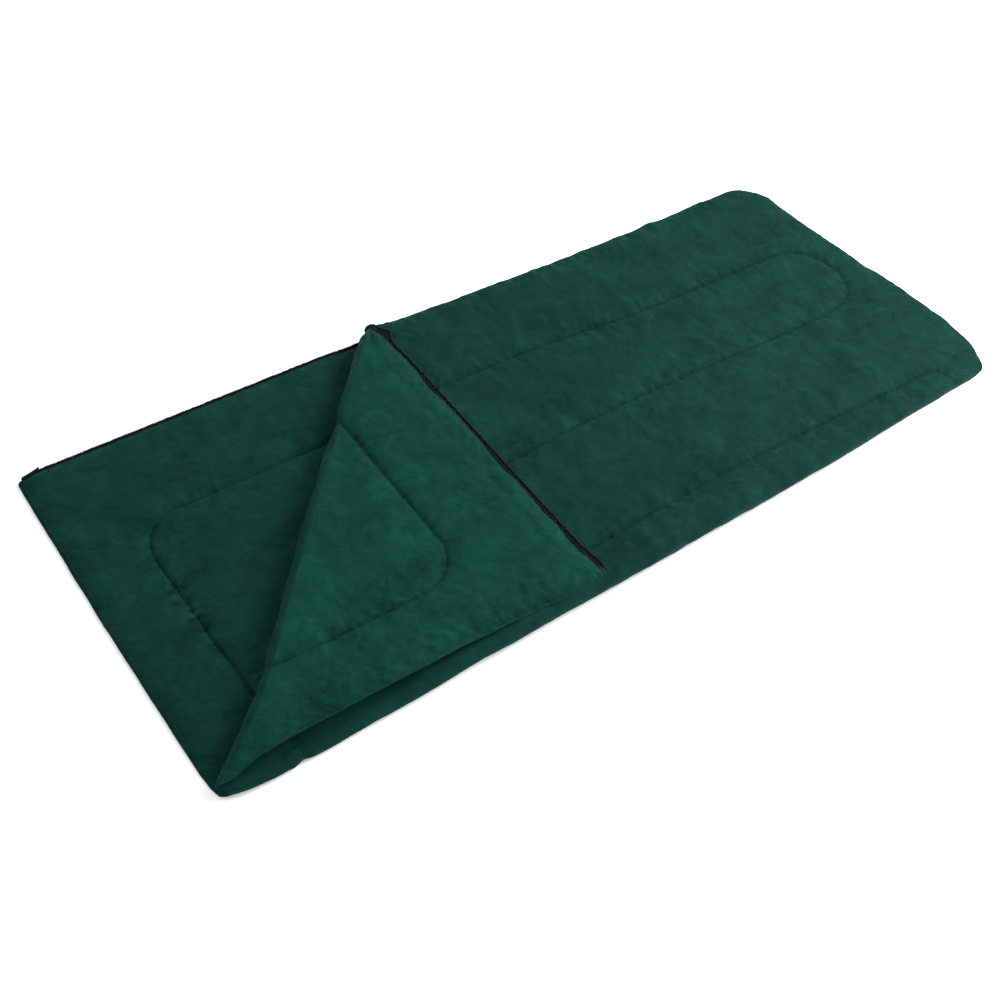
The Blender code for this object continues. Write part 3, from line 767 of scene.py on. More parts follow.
def many_small(name, corners, faces, material):
    """One mesh of many like solids: corners is (count, corners each, 3), faces index one solid."""
    count, each = corners.shape[:2]
    faces = (np.array(faces)[None] + (np.arange(count) * each)[:, None, None]).reshape(-1, 4)
    return make_mesh(name, corners.reshape(-1, 3), faces, material)


def frame_on(points, lift, places):
    """Place, forward, sideways and upward directions at distances along a run of points."""
    lengths = path_lengths(points)
    here = on_path(points, places, lengths)
    forward = on_path(points, places + 0.0008, lengths) - on_path(points, places - 0.0008, lengths)
    forward /= np.maximum(np.linalg.norm(forward, axis=-1, keepdims=True), 1e-9)
    up = on_path(lift, places, lengths)
    side = np.cross(up, forward)
    side /= np.maximum(np.linalg.norm(side, axis=-1, keepdims=True), 1e-9)
    return here, forward, side, np.cross(forward, side)


def stitches(name, runs, material):
    """Short raised stitches along runs of points, each given with its surface's direction."""
    solids = []
    for points, lift in runs:
        starts = np.arange(0.0005, path_lengths(points)[-1] - STITCH, STITCH)
        if not len(starts):
            continue
        rings = []
        for share, height, size in ((0.0, -1.6, 0.6), (0.22, 0.35, 1.0), (0.62, 0.35, 1.0), (0.84, -1.6, 0.6)):
            here, _, side, up = frame_on(points, lift, starts + share * STITCH)
            here = here + up * height * THREAD
            rings.append(np.stack([here + size * THREAD * d for d in (side, up, -side, -up)], 1))
        solids.append(np.concatenate(rings, 1))
    faces = [(a, (a + 1) % 4 + a // 4 * 4, (a + 1) % 4 + a // 4 * 4 + 4, a + 4) for a in range(12)]
    faces += [(3, 2, 1, 0), (12, 13, 14, 15)]
    return many_small(name, np.concatenate(solids), faces, material)


def teeth(name, points, lift, material):
    """The zip's row of teeth, each a small block that narrows towards the middle of the zip."""
    places = np.arange(0.001, path_lengths(points)[-1], TOOTH_PITCH)
    here, forward, side, up = frame_on(points, lift, places)
    blocks = []
    for level, half_length in ((-0.0009, 0.0010), (0.0006, 0.0009), (0.0013, 0.0005)):
        for u, v in ((-1, -1), (1, -1), (1, 1), (-1, 1)):
            blocks.append(here + forward * u * half_length + side * v * 0.0012 + up * level)
    faces = [(3, 2, 1, 0), (8, 9, 10, 11)]
    for base in (0, 4):
        faces += [(base + i, base + (i + 1) % 4, base + (i + 1) % 4 + 4, base + i + 4) for i in range(4)]
    return many_small(name, np.stack(blocks, 1), faces, material)


# ---------------------------------------------------------------- materials
def new_material(name):
    material = bpy.data.materials.new(name)
    material.use_nodes = True
    return material, material.node_tree, material.node_tree.nodes["Principled BSDF"]


def texture(tree, kind, vector, bands="", **values):
    node = tree.nodes.new("ShaderNodeTex" + kind)
    if bands:
        node.bands_direction = bands
    for key, value in values.items():
        node.inputs[key].default_value = value
    tree.links.new(vector, node.inputs["Vector"])
    return node.outputs["Fac"]


def mapped(tree, source, scale=(1, 1, 1), turn=0.0, offset=(0, 0, 0)):
    node = tree.nodes.new("ShaderNodeMapping")
    node.inputs["Scale"].default_value = scale
    node.inputs["Rotation"].default_value = (0, 0, turn)
    node.inputs["Location"].default_value = offset
    tree.links.new(source, node.inputs["Vector"])
    return node.outputs["Vector"]


def ramp(tree, source, *stops):
    node = tree.nodes.new("ShaderNodeValToRGB")
    elements = node.color_ramp.elements
    while len(elements) < len(stops):
        elements.new(0.5)
    for element, (position, colour) in zip(elements, stops):
        element.position = position
        element.color = (*colour, 1.0)
    tree.links.new(source, node.inputs["Fac"])
    return node.outputs["Color"]


def grey(value):
    return value, value, value


def combine(tree, kind, *values):
    """Math node over sockets or numbers."""
    node = tree.nodes.new("ShaderNodeMath")
    node.operation = kind
    for slot, value in zip(node.inputs, values):
        if isinstance(value, (int, float)):
            slot.default_value = value
        else:
            tree.links.new(value, slot)
    return node.outputs[0]


def bumped(tree, height, strength, distance, under=None):
    node = tree.nodes.new("ShaderNodeBump")
    node.inputs["Strength"].default_value = strength
    node.inputs["Distance"].default_value = distance
    tree.links.new(height, node.inputs["Height"])
    if under:
        tree.links.new(under, node.inputs["Normal"])
    return node.outputs["Normal"]


def tinted(colour, amount):
    return tuple(channel * amount for channel in colour)


def cloth_material(name, colour, offset):
    """Brushed microfibre: cloudy nap with lighter and darker strokes over a fine weave."""
    material, tree, shader = new_material(name)
    flat = tree.nodes.new("ShaderNodeUVMap")
    flat.uv_map = "cloth"
    flat = mapped(tree, flat.outputs["UV"], offset=offset)
    brushed = mapped(tree, mapped(tree, flat, turn=0.80), (1.0, 3.2, 1.0))
    combed = mapped(tree, flat, (1.0, 3.0, 1.0), 0.5)
    cloud = texture(tree, "Noise", flat, Scale=6.0, Detail=2.0, Distortion=0.5)
    blotch = texture(tree, "Noise", flat, Scale=17.0, Detail=4.0, Roughness=0.55, Distortion=0.7)
    stroke = texture(tree, "Noise", brushed, Scale=50.0, Detail=4.0, Roughness=0.62, Distortion=0.6)
    fibre = texture(tree, "Noise", combed, Scale=900.0, Detail=2.0)
    tone = combine(tree, "MULTIPLY_ADD", cloud, 0.42, -0.21)
    tone = combine(tree, "MULTIPLY_ADD", blotch, 0.80, tone)
    tone = combine(tree, "MULTIPLY_ADD", stroke, 0.62, tone)
    tone = combine(tree, "MULTIPLY_ADD", fibre, 0.22, tone)
    tone = combine(tree, "SUBTRACT", tone, 0.32)
    # Painted shade: the mesh's attribute darkens the tone in seam grooves, puckers, gathers and creases.
    sewn = tree.nodes.new("ShaderNodeAttribute")
    sewn.attribute_name = "sewn"
    tone = combine(tree, "MULTIPLY_ADD", sewn.outputs["Fac"], -0.24, tone)
    shades = ((0.0, 0.22), (0.22, 0.66), (0.58, 1.10), (0.82, 1.55))
    nap = ramp(tree, tone, *((place, tinted(colour, shade)) for place, shade in shades))
    tree.links.new(nap, shader.inputs["Base Color"])
    tree.links.new(ramp(tree, tone, (0.25, grey(0.92)), (0.8, grey(0.74))), shader.inputs["Roughness"])
    warp = texture(tree, "Wave", flat, "X", Scale=290.0, Distortion=0.6)
    weft = texture(tree, "Wave", flat, "Y", Scale=290.0, Distortion=0.6)
    weave = combine(tree, "MULTIPLY_ADD", fibre, 1.6, combine(tree, "MULTIPLY", warp, weft))
    fine = bumped(tree, weave, 0.5, 0.00012)
    tree.links.new(bumped(tree, blotch, 0.5, 0.0016, fine), shader.inputs["Normal"])
    shader.inputs["Specular IOR Level"].default_value = 0.07
    shader.inputs["Sheen Weight"].default_value = 0.05
    shader.inputs["Sheen Roughness"].default_value = 0.45
    shader.inputs["Sheen Tint"].default_value = (0.12, 0.75, 0.58, 1.0)
    return material


def woven_material(name, dark, light, scale, roughness=0.75):
    """Narrow woven tape: a tight herringbone of light and dark yarns."""
    material, tree, shader = new_material(name)
    coord = tree.nodes.new("ShaderNodeTexCoord").outputs["Object"]
    across = texture(tree, "Wave", mapped(tree, coord, turn=0.785), Scale=scale, Distortion=0.4)
    along = texture(tree, "Wave", mapped(tree, coord, turn=-0.785), Scale=scale, Distortion=0.4)
    yarn = combine(tree, "MULTIPLY", across, along)
    dirt = texture(tree, "Noise", coord, Scale=60.0, Detail=4.0)
    tone = combine(tree, "MULTIPLY_ADD", dirt, 0.5, combine(tree, "MULTIPLY", yarn, 0.6))
    tree.links.new(ramp(tree, tone, (0.1, dark), (0.75, light)), shader.inputs["Base Color"])
    tree.links.new(bumped(tree, yarn, 0.6, 0.00015), shader.inputs["Normal"])
    shader.inputs["Roughness"].default_value = roughness
    shader.inputs["Specular IOR Level"].default_value = 0.06
    return material


def hard_material(name, dark, light, roughness, metallic=0.0):
    """Moulded plastic or painted metal with slight wear and uneven gloss."""
    material, tree, shader = new_material(name)
    coord = tree.nodes.new("ShaderNodeTexCoord").outputs["Object"]
    wear = texture(tree, "Noise", coord, Scale=220.0, Detail=6.0, Roughness=0.7)
    tree.links.new(ramp(tree, wear, (0.35, dark), (0.75, light)), shader.inputs["Base Color"])
    gloss = ramp(tree, wear, (0.3, grey(roughness)), (0.8, grey(roughness + 0.2)))
    tree.links.new(gloss, shader.inputs["Roughness"])
    tree.links.new(bumped(tree, wear, 0.25, 0.0001), shader.inputs["Normal"])
    shader.inputs["Metallic"].default_value = metallic
    shader.inputs["Specular IOR Level"].default_value = 0.30
    return material


GREEN = (0.0010, 0.0235, 0.0168)
SHELL_CLOTH = cloth_material("shell_cloth", tinted(GREEN, 0.95), (0.0, 0.0, 0.0))
LINING_CLOTH = cloth_material("lining_cloth", tinted(GREEN, 1.02), (3.1, 1.7, 0.0))
# Painted light: the free corner's lining is the same lining cloth, drawn in a lighter copy of its green (1.30
# against 1.02) for the light it catches.
FLAP_LINING_PAINTED_LIGHT = cloth_material("flap_lining_cloth", tinted(GREEN, 1.30), (7.4, 5.2, 0.0))
GATHER_CLOTH = woven_material("gathered_cloth", (0.0010, 0.019, 0.014), (0.0022, 0.042, 0.031), 420.0, 0.85)
THREAD_LOOK = woven_material("thread", (0.006, 0.040, 0.030), (0.020, 0.090, 0.070), 900.0)
TAPE_LOOK = woven_material("zip_tape", (0.0006, 0.0007, 0.0007), (0.0048, 0.0056, 0.0056), 260.0)
COIL_LOOK = hard_material("coil_plastic", (0.0012, 0.0014, 0.0014), (0.005, 0.006, 0.006), 0.45)
METAL_LOOK = hard_material("slider_paint", (0.008, 0.008, 0.008), (0.035, 0.036, 0.036), 0.35, 0.6)
WADDING = woven_material("wadding", (0.010, 0.030, 0.024), (0.020, 0.050, 0.042), 60.0, 0.95)


# ---------------------------------------------------------------- the quilts
def least_near(values, reach):
    """The least value within reach cells, both ways."""
    for axis in (0, 1):
        values = np.minimum.reduce([np.roll(values, k, axis) for k in range(-reach, reach + 1)])
    return values


def inner(low, high, margin=11, step=2):
    """Grids for the wadding of a flat quilt, a little inside its two cloth faces."""
    middle = (low[..., 2] + high[..., 2]) / 2
    half = least_near(high[..., 2] - low[..., 2], step + 1) / 2
    plan = (low[..., :2] + high[..., :2]) / 2
    pick = np.ix_(*(np.r_[margin : size - margin : step] for size in middle.shape))
    return [np.concatenate([plan, z[..., None]], -1)[pick] for z in (middle - 0.45 * half, middle + 0.45 * half)]


def inner_fold(low, high, margin=4, step=2):
    """Grids for the wadding of a fold, between its cloths; it stops short of the fold's ends."""
    middle, half = (low + high) / 2, (high - low) / 2
    length = np.linalg.norm(half, axis=-1)
    half = half * (least_near(length, 4) / np.maximum(length, 1e-6))[..., None]
    trims = [1 if size == min(length.shape) else margin for size in length.shape]
    pick = np.ix_(*(np.r_[trim : size - trim : step] for trim, size in zip(trims, length.shape)))
    return (middle - 0.30 * half)[pick], (middle + 0.30 * half)[pick]


def build_quilt(part, low, high, sewn):
    """One quilted layer: its two cloths, each a (node, points, cloth, flat points), and the wadding between."""
    wadding = part + "_batting_fill"
    for flip, (node, surface, cloth, flat) in ((True, low), (False, high)):
        piece = cloth_piece(node + "_cloth", surface, flat, cloth, flip, sewn)
        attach(piece, BODIES[part])
        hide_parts(node)
    pad = closed_pad(wadding, *inner(low[1], high[1]), WADDING)
    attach(pad, BODIES[part])
    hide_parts(part + "_batting")


def round_under(plan):
    """The flat cloth's own coordinates on the lower outer shell, past the side fold."""
    return np.stack([plan[..., 0], 2 * Y_FOLD - ROUND_FOLD - plan[..., 1]], -1)


def build_lower_quilt():
    plan = lower_plan()
    m = measure(plan)
    shell, lining = lower_heights(m)
    low, high = place(m, shell, True), place(m, lining, False)
    trims = [hem_strip("lower", *(rim(grid, True) for grid in (low, high, m["hem_run"])))]
    trims += build_zip("lower", ZIP_START, ZIP_END, lower_edge)
    low = "lower_outer_shell", low, SHELL_CLOTH, round_under(plan)
    high = "lower_lining", high, LINING_CLOTH, plan
    build_quilt("lower", low, high, painted_crease_shade(m, LOWER_LINING))


def build_upper_quilt():
    plan = upper_plan()
    m = measure(plan)
    shell, lining = upper_heights(m)
    low, high = place(m, lining, False), place(m, shell, True)
    trims = [hem_strip("upper", *(rim(grid, False) for grid in (low, high, m["hem_run"])))]
    trims += build_zip("upper", CREASE_RUN, ZIP_END, upper_edge)
    low = "upper_lining", low, LINING_CLOTH, plan
    high = "upper_outer_shell", high, SHELL_CLOTH, plan
    build_quilt("upper", low, high, painted_crease_shade(m, COVER_SHELL))


def build_flap():
    plan = flap_plan()
    m = measure(plan)
    shell, lining = upper_heights(m)
    low, high = flap_points(m, shell, True), flap_points(m, lining, False)
    edge = [np.concatenate([grid[:, 0], grid[-1, 1:]]) for grid in (low, high, m["hem_run"])]
    trims = [hem_strip("flap", *edge)]
    trims += build_zip("flap", ZIP_START, CREASE_RUN, flap_edge)
    plan, sewn = plan[:, ::-1], painted_crease_shade(m, COVER_LINING)[:, ::-1]
    low = "flap_outer_shell", low[:, ::-1], SHELL_CLOTH, plan
    high = "flap_lining", high[:, ::-1], FLAP_LINING_PAINTED_LIGHT, plan
    build_quilt("flap", low, high, sewn)


# ---------------------------------------------------------------- the zip
# Across the tape: how far out from the hem, and how much of the way up to the coil.
TAPE_PROFILE = (
    (-0.0060, 0.0), (-0.0030, 0.0), (-0.0002, 0.03),
    (0.0016, 0.22), (0.0030, 0.52), (0.0040, 0.80), (TAPE_REACH, 1.0),
)
TAPE_WIDTH = 0.013


def tape_points(run, lower, slack):
    """Closed points of a zip tape: rows across it, from its stitched edge out to the coil.

    slack is 1 where the zip is open and the tape lies flat against the hem, 0 where it is closed.
    """
    hem, out = on_path(HEM_LINE, run, HEM_LENGTHS), outward(run)
    ripple = 0.0007 + (0.0 if lower else 0.0012) * slack
    wave = ripple * noise(run / 0.0075, 0, 51) + 0.0005 * noise(run / 0.03, 0, 52)
    ends = 3.0 * bell(run - CREASE_RUN + 0.036, 0.017) + bell(run - ZIP_START - 0.018, 0.028)
    spread = 1 + slack * (-0.56 if lower else 0.35 + ends + 0.45 * noise(run / 0.0068, 0, 53))
    rows, coil_z = [], COIL_LOW if lower else COIL_HIGH
    heights = lower_heights if lower else upper_heights
    hem_z = heights(measure(hem - out * 0.0001))[1]
    coil_z = coil_z * (1 - slack) + (hem_z + (0.0018 if lower else -0.0012)) * slack
    for offset, share in TAPE_PROFILE:
        plan = hem + out * (offset * np.where(offset > 0, spread, 1.0) + wave * share)[..., None]
        if offset < 0:
            z = heights(measure(plan))[1] + (0.0005 if lower else -0.0005)
        else:
            z = hem_z * (1 - share) + coil_z * share + 0.6 * wave * share
        x, y = plan[..., 0], plan[..., 1]
        held_up = share * (1 - smoothstep(x, 0.84, 0.90))
        z = z * (1 - (1 - press(x, y)) * (1 - held_up))
        rows.append(np.concatenate([plan, z[..., None]], -1))
    return np.stack(rows)


def lower_edge(run):
    return tape_points(run, True, 1 - smoothstep(run, CREASE_RUN - 0.08, CREASE_RUN + 0.02))


def upper_edge(run):
    return tape_points(run, False, 0.0)


def flap_edge(run):
    m = measure(on_path(HEM_LINE, run, HEM_LENGTHS))
    return settle_flap(tape_points(run, False, 0.9), flap_fall(m)[None])


def build_zip(part, start, end, edge):
    """Tape and teeth on one edge; the teeth point at the other half of the zip."""
    run = np.linspace(start, end, int((end - start) / ZIP_STEP) + 1)
    rows = edge(run)
    uv = strip_uv(run, np.linspace(0, TAPE_WIDTH, len(rows)))
    tape = cloth_piece(part + "_zip_tape_woven", rows, uv, TAPE_LOOK)
    lift = rows[-1] - rows[-3]
    lift[:, 2] *= 2.0
    lift /= np.linalg.norm(lift, axis=1, keepdims=True)
    row = teeth(part + "_zip_teeth", rows[-1], lift, COIL_LOOK)
    for piece, node in ((tape, part + "_zip_tape"), (row, part + "_zip_coil")):
        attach(piece, BODIES[part])
        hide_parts(node)
    return [tape, row]


def build_gathers():
    """Small pleats of shell cloth that the sewing has drawn up over the free corner's zip tape."""
    order = np.arange(int((CREASE_RUN - ZIP_START - 0.09) / GATHER_PITCH))
    start = ZIP_START + 0.05 + GATHER_PITCH * (order + 0.7 * noise(order * 0.73, 0, 97))
    length = 0.62 + 0.45 * noise(order * 0.61, 3, 98)
    along, up = np.array([0.0, -1.0, 0.0]), np.array([0.0, 0.0, 1.0])
    rings = []
    for step, size in enumerate((0.35, 1.0, 0.95, 0.7, 0.15)):
        rows = flap_edge(start + 0.0022 * step * length)
        here = rows[1] + (rows[5] - rows[1]) * (step / 4 * length)[:, None]
        ring = (along * 0.0022, up * 0.0027, along * -0.0022, up * -0.0004)
        rings.append(np.stack([here + away * size for away in ring], 1))
    faces = [(a + k, (a + 1) % 4 + k, (a + 1) % 4 + k + 4, a + k + 4) for k in range(0, 16, 4) for a in range(4)]
    faces += [(3, 2, 1, 0), (16, 17, 18, 19)]
    piece = many_small("flap_zip_gathers", np.concatenate(rings, 1), faces, GATHER_CLOTH)
    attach(piece, "corner_flap")


def build_crease_zip():
    """The tape and teeth where the zip's edge turns over with the free corner."""
    below, above = (edge(np.array([CREASE_RUN]))[:, 0] for edge in (upper_edge, flap_edge))
    middle, half = (below + above) / 2, (above - below) / 2
    radius = np.linalg.norm(half, axis=1)[:, None, None]
    turn = np.linspace(-math.pi / 2, math.pi / 2, 21)[None, :, None]
    bulge = radius * 0.9 * np.cos(turn) * np.append(ACROSS_CREASE, 0.0)
    rows = middle[:, None] + half[:, None] * np.sin(turn) + bulge
    uv = np.zeros((*rows.shape[:2], 2))
    tape = cloth_piece("crease_zip_tape_woven", rows, uv, TAPE_LOOK)
    lift = np.repeat([[0.0, 1.0, 0.0]], rows.shape[1], 0)
    row = teeth("crease_zip_teeth", rows[-1], lift, COIL_LOOK)
    for piece in (tape, row):
        blended(piece)


def block(name, centre, size, material):
    """A small clamped metal stop with rounded edges."""
    built = bmesh.new()
    bmesh.ops.create_cube(built, size=1.0)
    bmesh.ops.scale(built, vec=size, verts=built.verts)
    bmesh.ops.bevel(built, geom=built.edges[:], offset=min(size) * 0.22, segments=3, affect="EDGES")
    bmesh.ops.translate(built, vec=centre, verts=built.verts)
    mesh = bpy.data.meshes.new(name)
    built.to_mesh(mesh)
    built.free()
    return finish_mesh(name, mesh, material)


def build_stops():
    for name, body, edge, run in (
        ("lower_top_stop", "lower_quilt", lower_edge, ZIP_START + 0.004),
        ("flap_top_stop", "corner_flap", flap_edge, ZIP_START + 0.004),
        ("zip_bottom_stop", "lower_quilt", lower_edge, ZIP_END - 0.002),
    ):
        centre = edge(np.array([run]))[-1, 0] + [0, 0, 0.0023 if name == "zip_bottom_stop" else 0.0003]
        tall = 0.0075 if name == "zip_bottom_stop" else 0.0036
        piece = block(name + "_metal", centre.tolist(), (0.0042, 0.0042, tall), METAL_LOOK)
        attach(piece, body)
        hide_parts(name)


def build_tape_end():
    """The tape's loose end at the head corner, folded back along the edge and standing out a little."""
    t = np.linspace(0, 1, 13)[None, :]
    width = np.linspace(0, 1, 4)[:, None]
    start = lower_edge(np.array([ZIP_START]))[3, 0]
    x = X_HEAD - HEAD_SLANT + 0.010 + 0.034 * t + 0 * width
    y = start[1] + 0.0006 + 0.0040 * t**1.5 + 0.0018 * width * np.sin(3 * t)
    z = start[2] - 0.003 + 0.0065 * t**3 + 0.0095 * width * (1 - 0.10 * t)
    uv = np.stack([x, z], -1)
    piece = cloth_piece("zip_tape_end", np.stack([x, y, z], -1), uv, TAPE_LOOK)
    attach(piece, "lower_quilt")


def dress_slider():
    for node in ("slider_body", "slider_bridge", "pull_tab"):
        mesh = bpy.data.objects[node].data
        mesh.materials.clear()
        mesh.materials.append(METAL_LOOK)


# ---------------------------------------------------------------- stitches
def seam_runs(side=0):
    """Runs of the seam line: all of it, or its part towards the foot (1) or the head (-1) from the crease."""
    points = on_path(SEAM_LINE, np.arange(0.0, SEAM_LENGTHS[-1], RUN_STEP), SEAM_LENGTHS)
    keep = points[:, 1] > Y_FOLD + 0.001
    if side:
        keep &= beyond_crease(points) * side > 0.0
    marks = np.flatnonzero(np.diff(np.r_[0, keep.astype(int), 0]))
    return [points[a:b] for a, b in zip(marks[::2], marks[1::2]) if b - a > 4]


def beyond_crease(points):
    """Distance from the crease, towards the foot."""
    return ((points[:, 0] - CREASE[0]) - (points[:, 1] - CREASE[1])) / math.sqrt(2)


def hem_runs(start, end, inset):
    """The line of stitches that holds the turned hem."""
    run = np.arange(start, end, RUN_STEP)
    return [on_path(HEM_LINE, run, HEM_LENGTHS) - outward(run) * inset]


def build_stitches():
    whole, bag, corner = seam_runs(), seam_runs(1), seam_runs(-1)
    head = hem_runs(HEM_START + 0.004, HEAD_MIDDLE - 0.012, HEM_INSET)
    foot = hem_runs(ZIP_END + 0.01, HEM_END - 0.004, HEM_INSET)
    lower_zip = hem_runs(ZIP_START + 0.004, ZIP_END, TAPE_INSET)
    upper_zip = hem_runs(CREASE_RUN + 0.004, ZIP_END, TAPE_INSET)
    flap_zip = hem_runs(ZIP_START + 0.004, CREASE_RUN - 0.004, TAPE_INSET)
    for part, face, lines, nodes in (
        ("lower", "lining", whole + head + lower_zip + foot, ["lower_quilting_thread"]),
        ("lower", "shell", whole + head + foot, []),
        ("upper", "shell", bag + foot, ["upper_quilting_thread", "upper_head_thread"]),
        ("upper", "lining", bag + upper_zip + foot, []),
        ("flap", "lining", corner + head + flap_zip, ["flap_quilting_thread"]),
        ("flap", "shell", corner + head, []),
    ):
        shell = face == "shell"
        heights = lower_heights if part == "lower" else upper_heights
        lay = flap_points if part == "flap" else place
        up = 1.0 if shell == (part == "upper") else -1.0
        runs = []
        for line in lines:
            m = measure(line)
            points = lay(m, heights(m)[0 if shell else 1], shell)
            runs.append((points, np.repeat([[0.0, 0.0, up]], len(points), 0)))
        piece = stitches(f"{part}_{face}_stitches", runs, THREAD_LOOK)
        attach(piece, BODIES[part])
        if nodes:
            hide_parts(*nodes)


def fold_stitches(name, columns):
    """Stitches that go round a fold with the cloth, along columns of its grid."""
    runs = []
    for line, beside in columns:
        out = np.cross(np.gradient(line, axis=0), beside - line)
        out *= np.sign(np.sum(out * (line - line.mean(0)), axis=1, keepdims=True))
        runs.append((line, out / np.maximum(np.linalg.norm(out, axis=1, keepdims=True), 1e-9)))
    blended(stitches(name, runs, THREAD_LOOK))


def rim(grid, with_head):
    """A quilt's open edge: its zip side and foot end, and its head end where it has one."""
    foot = grid[-2::-1, -1]
    return np.concatenate([grid[:, 0], grid[-1, 1:], foot] if with_head else [grid[-1], foot])


def in_space(normal, turned):
    """A direction in the closed plane as one in space, turned over with the corner if it has to be."""
    x, y = normal[..., 0], normal[..., 1]
    return np.stack([y, x, 0 * x] if turned else [x, y, 0 * x], -1)


def hem_strip(part, low, high, run):
    """The turned edge that closes a quilt between its two faces."""
    radius = np.linalg.norm((high - low) / 2, axis=1, keepdims=True)
    wave = 1 + 0.25 * noise(run / 0.02, 0, 77)[:, None]
    bulge = in_space(outward(run), part == "flap") * radius * wave
    piece = turned_edge(part + "_hem", low, high, bulge, run, 0.0012, SHELL_CLOTH)
    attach(piece, BODIES[part])
    return piece


# ---------------------------------------------------------------- the folds
def side_fold_surface(outer):
    """The roll along the side fold, from the lower quilt's edge round to the upper one's."""
    high_plan = upper_plan()[0]
    low_plan = spaced(polyline(lower_plan()[0, :1], high_plan[-1:]), ALONG)
    m_low, m_high = measure(low_plan), measure(high_plan)
    pick = 0 if outer else 1
    z_low, z_high = lower_heights(m_low)[pick], upper_heights(m_high)[pick]
    turn = np.linspace(-math.pi / 2, math.pi / 2, ROLL_STEPS + 1)[:, None]
    share = (np.sin(turn) + 1) / 2
    x = low_plan[None, :, 0] * (1 - share) + high_plan[None, :, 0] * share
    middle, radius = (z_low + z_high)[None] / 2, np.maximum((z_high - z_low) / 2, 0.0006)[None]
    run = np.broadcast_to(Y_FOLD + (turn - math.pi / 2) * Z_MIDDLE, x.shape)
    flat = np.stack([x, run], -1)
    if outer:
        m = measure(flat)
        inside = smoothstep(turn, -math.pi / 2, -math.pi / 2 + 0.7)
        near = smoothstep(math.pi / 2 - turn, 0.0, 0.5)
        radius = radius + inside * relief(m, 0, COVER_SHELL)
        radius = radius - inside * near * groove(m) * 0.002
        radius = radius * (1 + 0.05 * near * inside * layered(x / 0.10, run / 0.05, 5, 2))
        radius = radius - inside * relief(m_high, 0, COVER_SHELL)[None] * (1 - near)
        window = np.hanning(9) / np.hanning(9).sum()
        even = np.stack([np.convolve(np.pad(row, 4, "edge"), window, "valid") for row in radius])
        radius = radius * (1 - inside * near) + even * inside * near
    y = Y_FOLD - radius * np.cos(turn) * press(x, Y_FOLD) * (1 - 0.70 * smoothstep(x, 0.35, 0.90))
    x = x + 0.012 * np.cos(turn) * (1 - smoothstep(x - X_HEAD, 0.0, 0.05))
    z = middle + radius * np.sin(turn)
    z[0], z[-1] = z_low, z_high
    y[0] = y[-1] = Y_FOLD
    z = z * press(x, y) * dent(x, y)
    return np.stack([x, y, z], -1), flat


def crease_fold_surface(outer):
    """The roll along the crease; outer is the lining's side, which is outermost there."""
    lines = crease_line(1), crease_line(-1)
    sides = [measure(edge) for edge in lines]
    heights = [upper_heights(m)[1 if outer else 0] for m in sides]
    below = place(sides[0], heights[0], not outer)
    above = flap_points(sides[1], heights[1], not outer)
    line = (lines[0] + lines[1]) / 2
    middle, half = (below + above) / 2, (above - below) / 2
    radius = np.linalg.norm(half, axis=1)[:, None]
    turn = np.linspace(-math.pi / 2, math.pi / 2, ROLL_STEPS)[None, :]
    turn = np.sign(turn) * (0.14 + np.abs(turn) * (1 - 0.28 / math.pi))
    run = ACROSS[:, None] * CREASE_LENGTH * math.sqrt(2)
    swing = 0.70
    if outer:
        swing = 0.72 + 0.10 * layered(run / 0.085, turn * 0.6, 7, 3) + 0.04 * noise(run / 0.022, turn, 8)
    bulge = (radius * swing * np.cos(turn))[..., None] * np.append(ACROSS_CREASE, 0.0)
    surface = middle[:, None] + half[:, None] * np.sin(turn)[..., None] + bulge
    flat = line[:, None] + ((turn + math.pi / 2) * radius)[..., None] * ACROSS_CREASE
    return surface, flat


def end_strip(name, faces, end, out):
    """The turned edge at one end of a fold."""
    low, high = (face[end] for face in faces)
    radius = np.minimum(np.linalg.norm((high - low) / 2, axis=1, keepdims=True), 0.003)
    run = path_lengths((low + high) / 2)
    piece = turned_edge(name, low, high, np.array(out) * radius, run, 0.002, SHELL_CLOTH)
    blended(piece)


def fold_wadding(fold, faces):
    pad = closed_pad(fold + "_batting_fill", *inner_fold(*faces), WADDING)
    blended(pad)
    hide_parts(fold + "_batting")


def build_side_fold():
    """The side fold's cloths and wadding; returns the cloths' points."""
    (lining, lining_flat), (shell, shell_flat) = side_fold_surface(False), side_fold_surface(True)
    for node, surface, flat, cloth in (
        ("side_fold_lining", lining, lining_flat, LINING_CLOTH),
        ("side_fold_outer_shell", shell, shell_flat, SHELL_CLOTH),
    ):
        piece = cloth_piece(node + "_cloth", surface, flat, cloth)
        blended(piece)
        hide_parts(node)
    fold_wadding("side_fold", (lining, shell))
    return lining, shell


def build_crease_fold():
    """The crease's cloths and wadding; returns the cloths' points."""
    (shell, shell_flat), (lining, lining_flat) = crease_fold_surface(False), crease_fold_surface(True)
    length = CREASE_LENGTH * math.sqrt(2)
    cut = int(np.searchsorted(ACROSS * length, NEAR_END))
    near = cloth_piece("crease_fold_outer_shell_near_cloth", shell[: cut + 1], shell_flat[: cut + 1], SHELL_CLOTH)
    blended(near)
    for node, surface, flat, cloth, span in (
        ("crease_fold_outer_shell", shell[cut:], shell_flat[cut:], SHELL_CLOTH, SHELL_BREAK),
        ("crease_fold_lining", lining, lining_flat, LINING_CLOTH, LINING_BREAK),
    ):
        piece = cloth_piece(node + "_cloth", surface, flat, cloth)
        blended(piece)
        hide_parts(node)
    fold_wadding("crease_fold", (shell, lining))
    return shell, lining


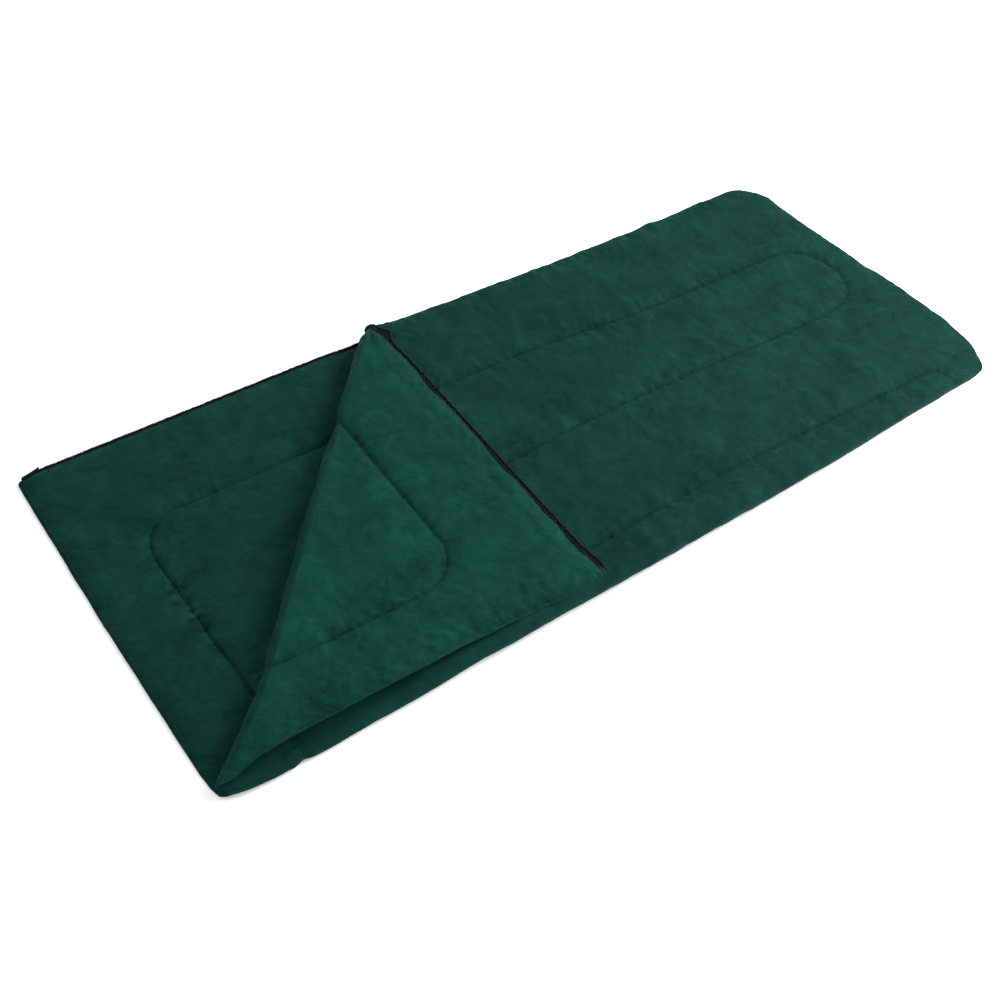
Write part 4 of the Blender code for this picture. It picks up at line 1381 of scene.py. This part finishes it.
def build_folds():
    side, crease = build_side_fold(), build_crease_fold()
    end_strip("side_fold_head_hem", side, np.s_[:, 0], (-1, 0, 0))
    end_strip("side_fold_foot_hem", side, np.s_[:, -1], (1, 0, 0))
    end_strip("crease_fold_head_hem", crease, 0, (-0.71, -0.71, 0))
    end_strip("crease_fold_zip_hem", crease, -1, (0.71, 0.71, 0))

    shell, lining = side[1], crease[1]
    places = [int(np.argmin(np.abs(shell[ROLL_STEPS // 2, :, 0] - SEAM_LINE[end, 0]))) for end in (1, -1)]
    columns = [(shell[:, i], shell[:, i + 1]) for i in places]
    fold_stitches("side_fold_stitches", columns)
    away = to_path(lining[:, 0, 0], lining[:, 0, 1], SEAM_LINE)[0]
    nearest = (away[1:-1] < 0.004) & (away[1:-1] <= away[:-2]) & (away[1:-1] < away[2:])
    columns = [(lining[i], lining[i + 1]) for i in np.flatnonzero(nearest) + 1 if 2 <= i < len(away) - 2]
    fold_stitches("crease_fold_stitches", columns)


# ---------------------------------------------------------------- studio
def build_studio():
    mesh = bpy.data.meshes.new("floor")
    size = 12.0
    mesh.from_pydata([(-size, -size, 0), (size, -size, 0), (size, size, 0), (-size, size, 0)], [], [(0, 1, 2, 3)])
    material, _, shader = new_material("floor")
    shader.inputs["Base Color"].default_value = (0.93, 0.93, 0.93, 1.0)
    shader.inputs["Roughness"].default_value = 0.9
    shader.inputs["Specular IOR Level"].default_value = 0.1
    shader.inputs["Emission Color"].default_value = (1.0, 1.0, 1.0, 1.0)
    shader.inputs["Emission Strength"].default_value = 0.16
    mesh.materials.append(material)
    floor = add_object("floor", mesh)
    floor.location.z = -0.0005
    world = bpy.data.worlds.new("studio")
    bpy.context.scene.world = world
    world.use_nodes = True
    sky = world.node_tree.nodes["Background"]
    sky.inputs["Color"].default_value = (1.0, 1.0, 1.0, 1.0)
    sky.inputs["Strength"].default_value = 0.95
    add_area_light("key", (2.3, -0.7, 2.3), (0.0, 0.0, 0.0), 2.0, 165)


def add_area_light(name, where, target, size, power):
    data = bpy.data.lights.new(name, "AREA")
    data.size = size
    data.energy = power
    light = add_object(name, data)
    light.location = where
    light.rotation_euler = (Vector(target) - Vector(where)).to_track_quat("-Z", "Y").to_euler()


def build_camera():
    where = Vector((-1.2072, -1.2046, 1.7523))
    target = Vector((-0.1854, -0.0999, 0.0))
    data = bpy.data.cameras.new("camera")
    data.sensor_width = 36.0
    data.lens = 44.99
    data.clip_end = 100.0
    camera = add_object("camera", data)
    facing = (target - where).to_track_quat("-Z", "Y").to_matrix().to_4x4()
    roll = Matrix.Rotation(math.radians(8.756), 4, "Z")
    camera.matrix_world = Matrix.Translation(where) @ facing @ roll
    bpy.context.scene.camera = camera


build_camera()
build_lower_quilt()
build_upper_quilt()
build_flap()
build_folds()
build_gathers()
build_crease_zip()
build_stops()
build_tape_end()
dress_slider()
build_stitches()
join_normals(CLOTHS)
build_studio()
bpy.context.scene.view_settings.view_transform = "Standard"
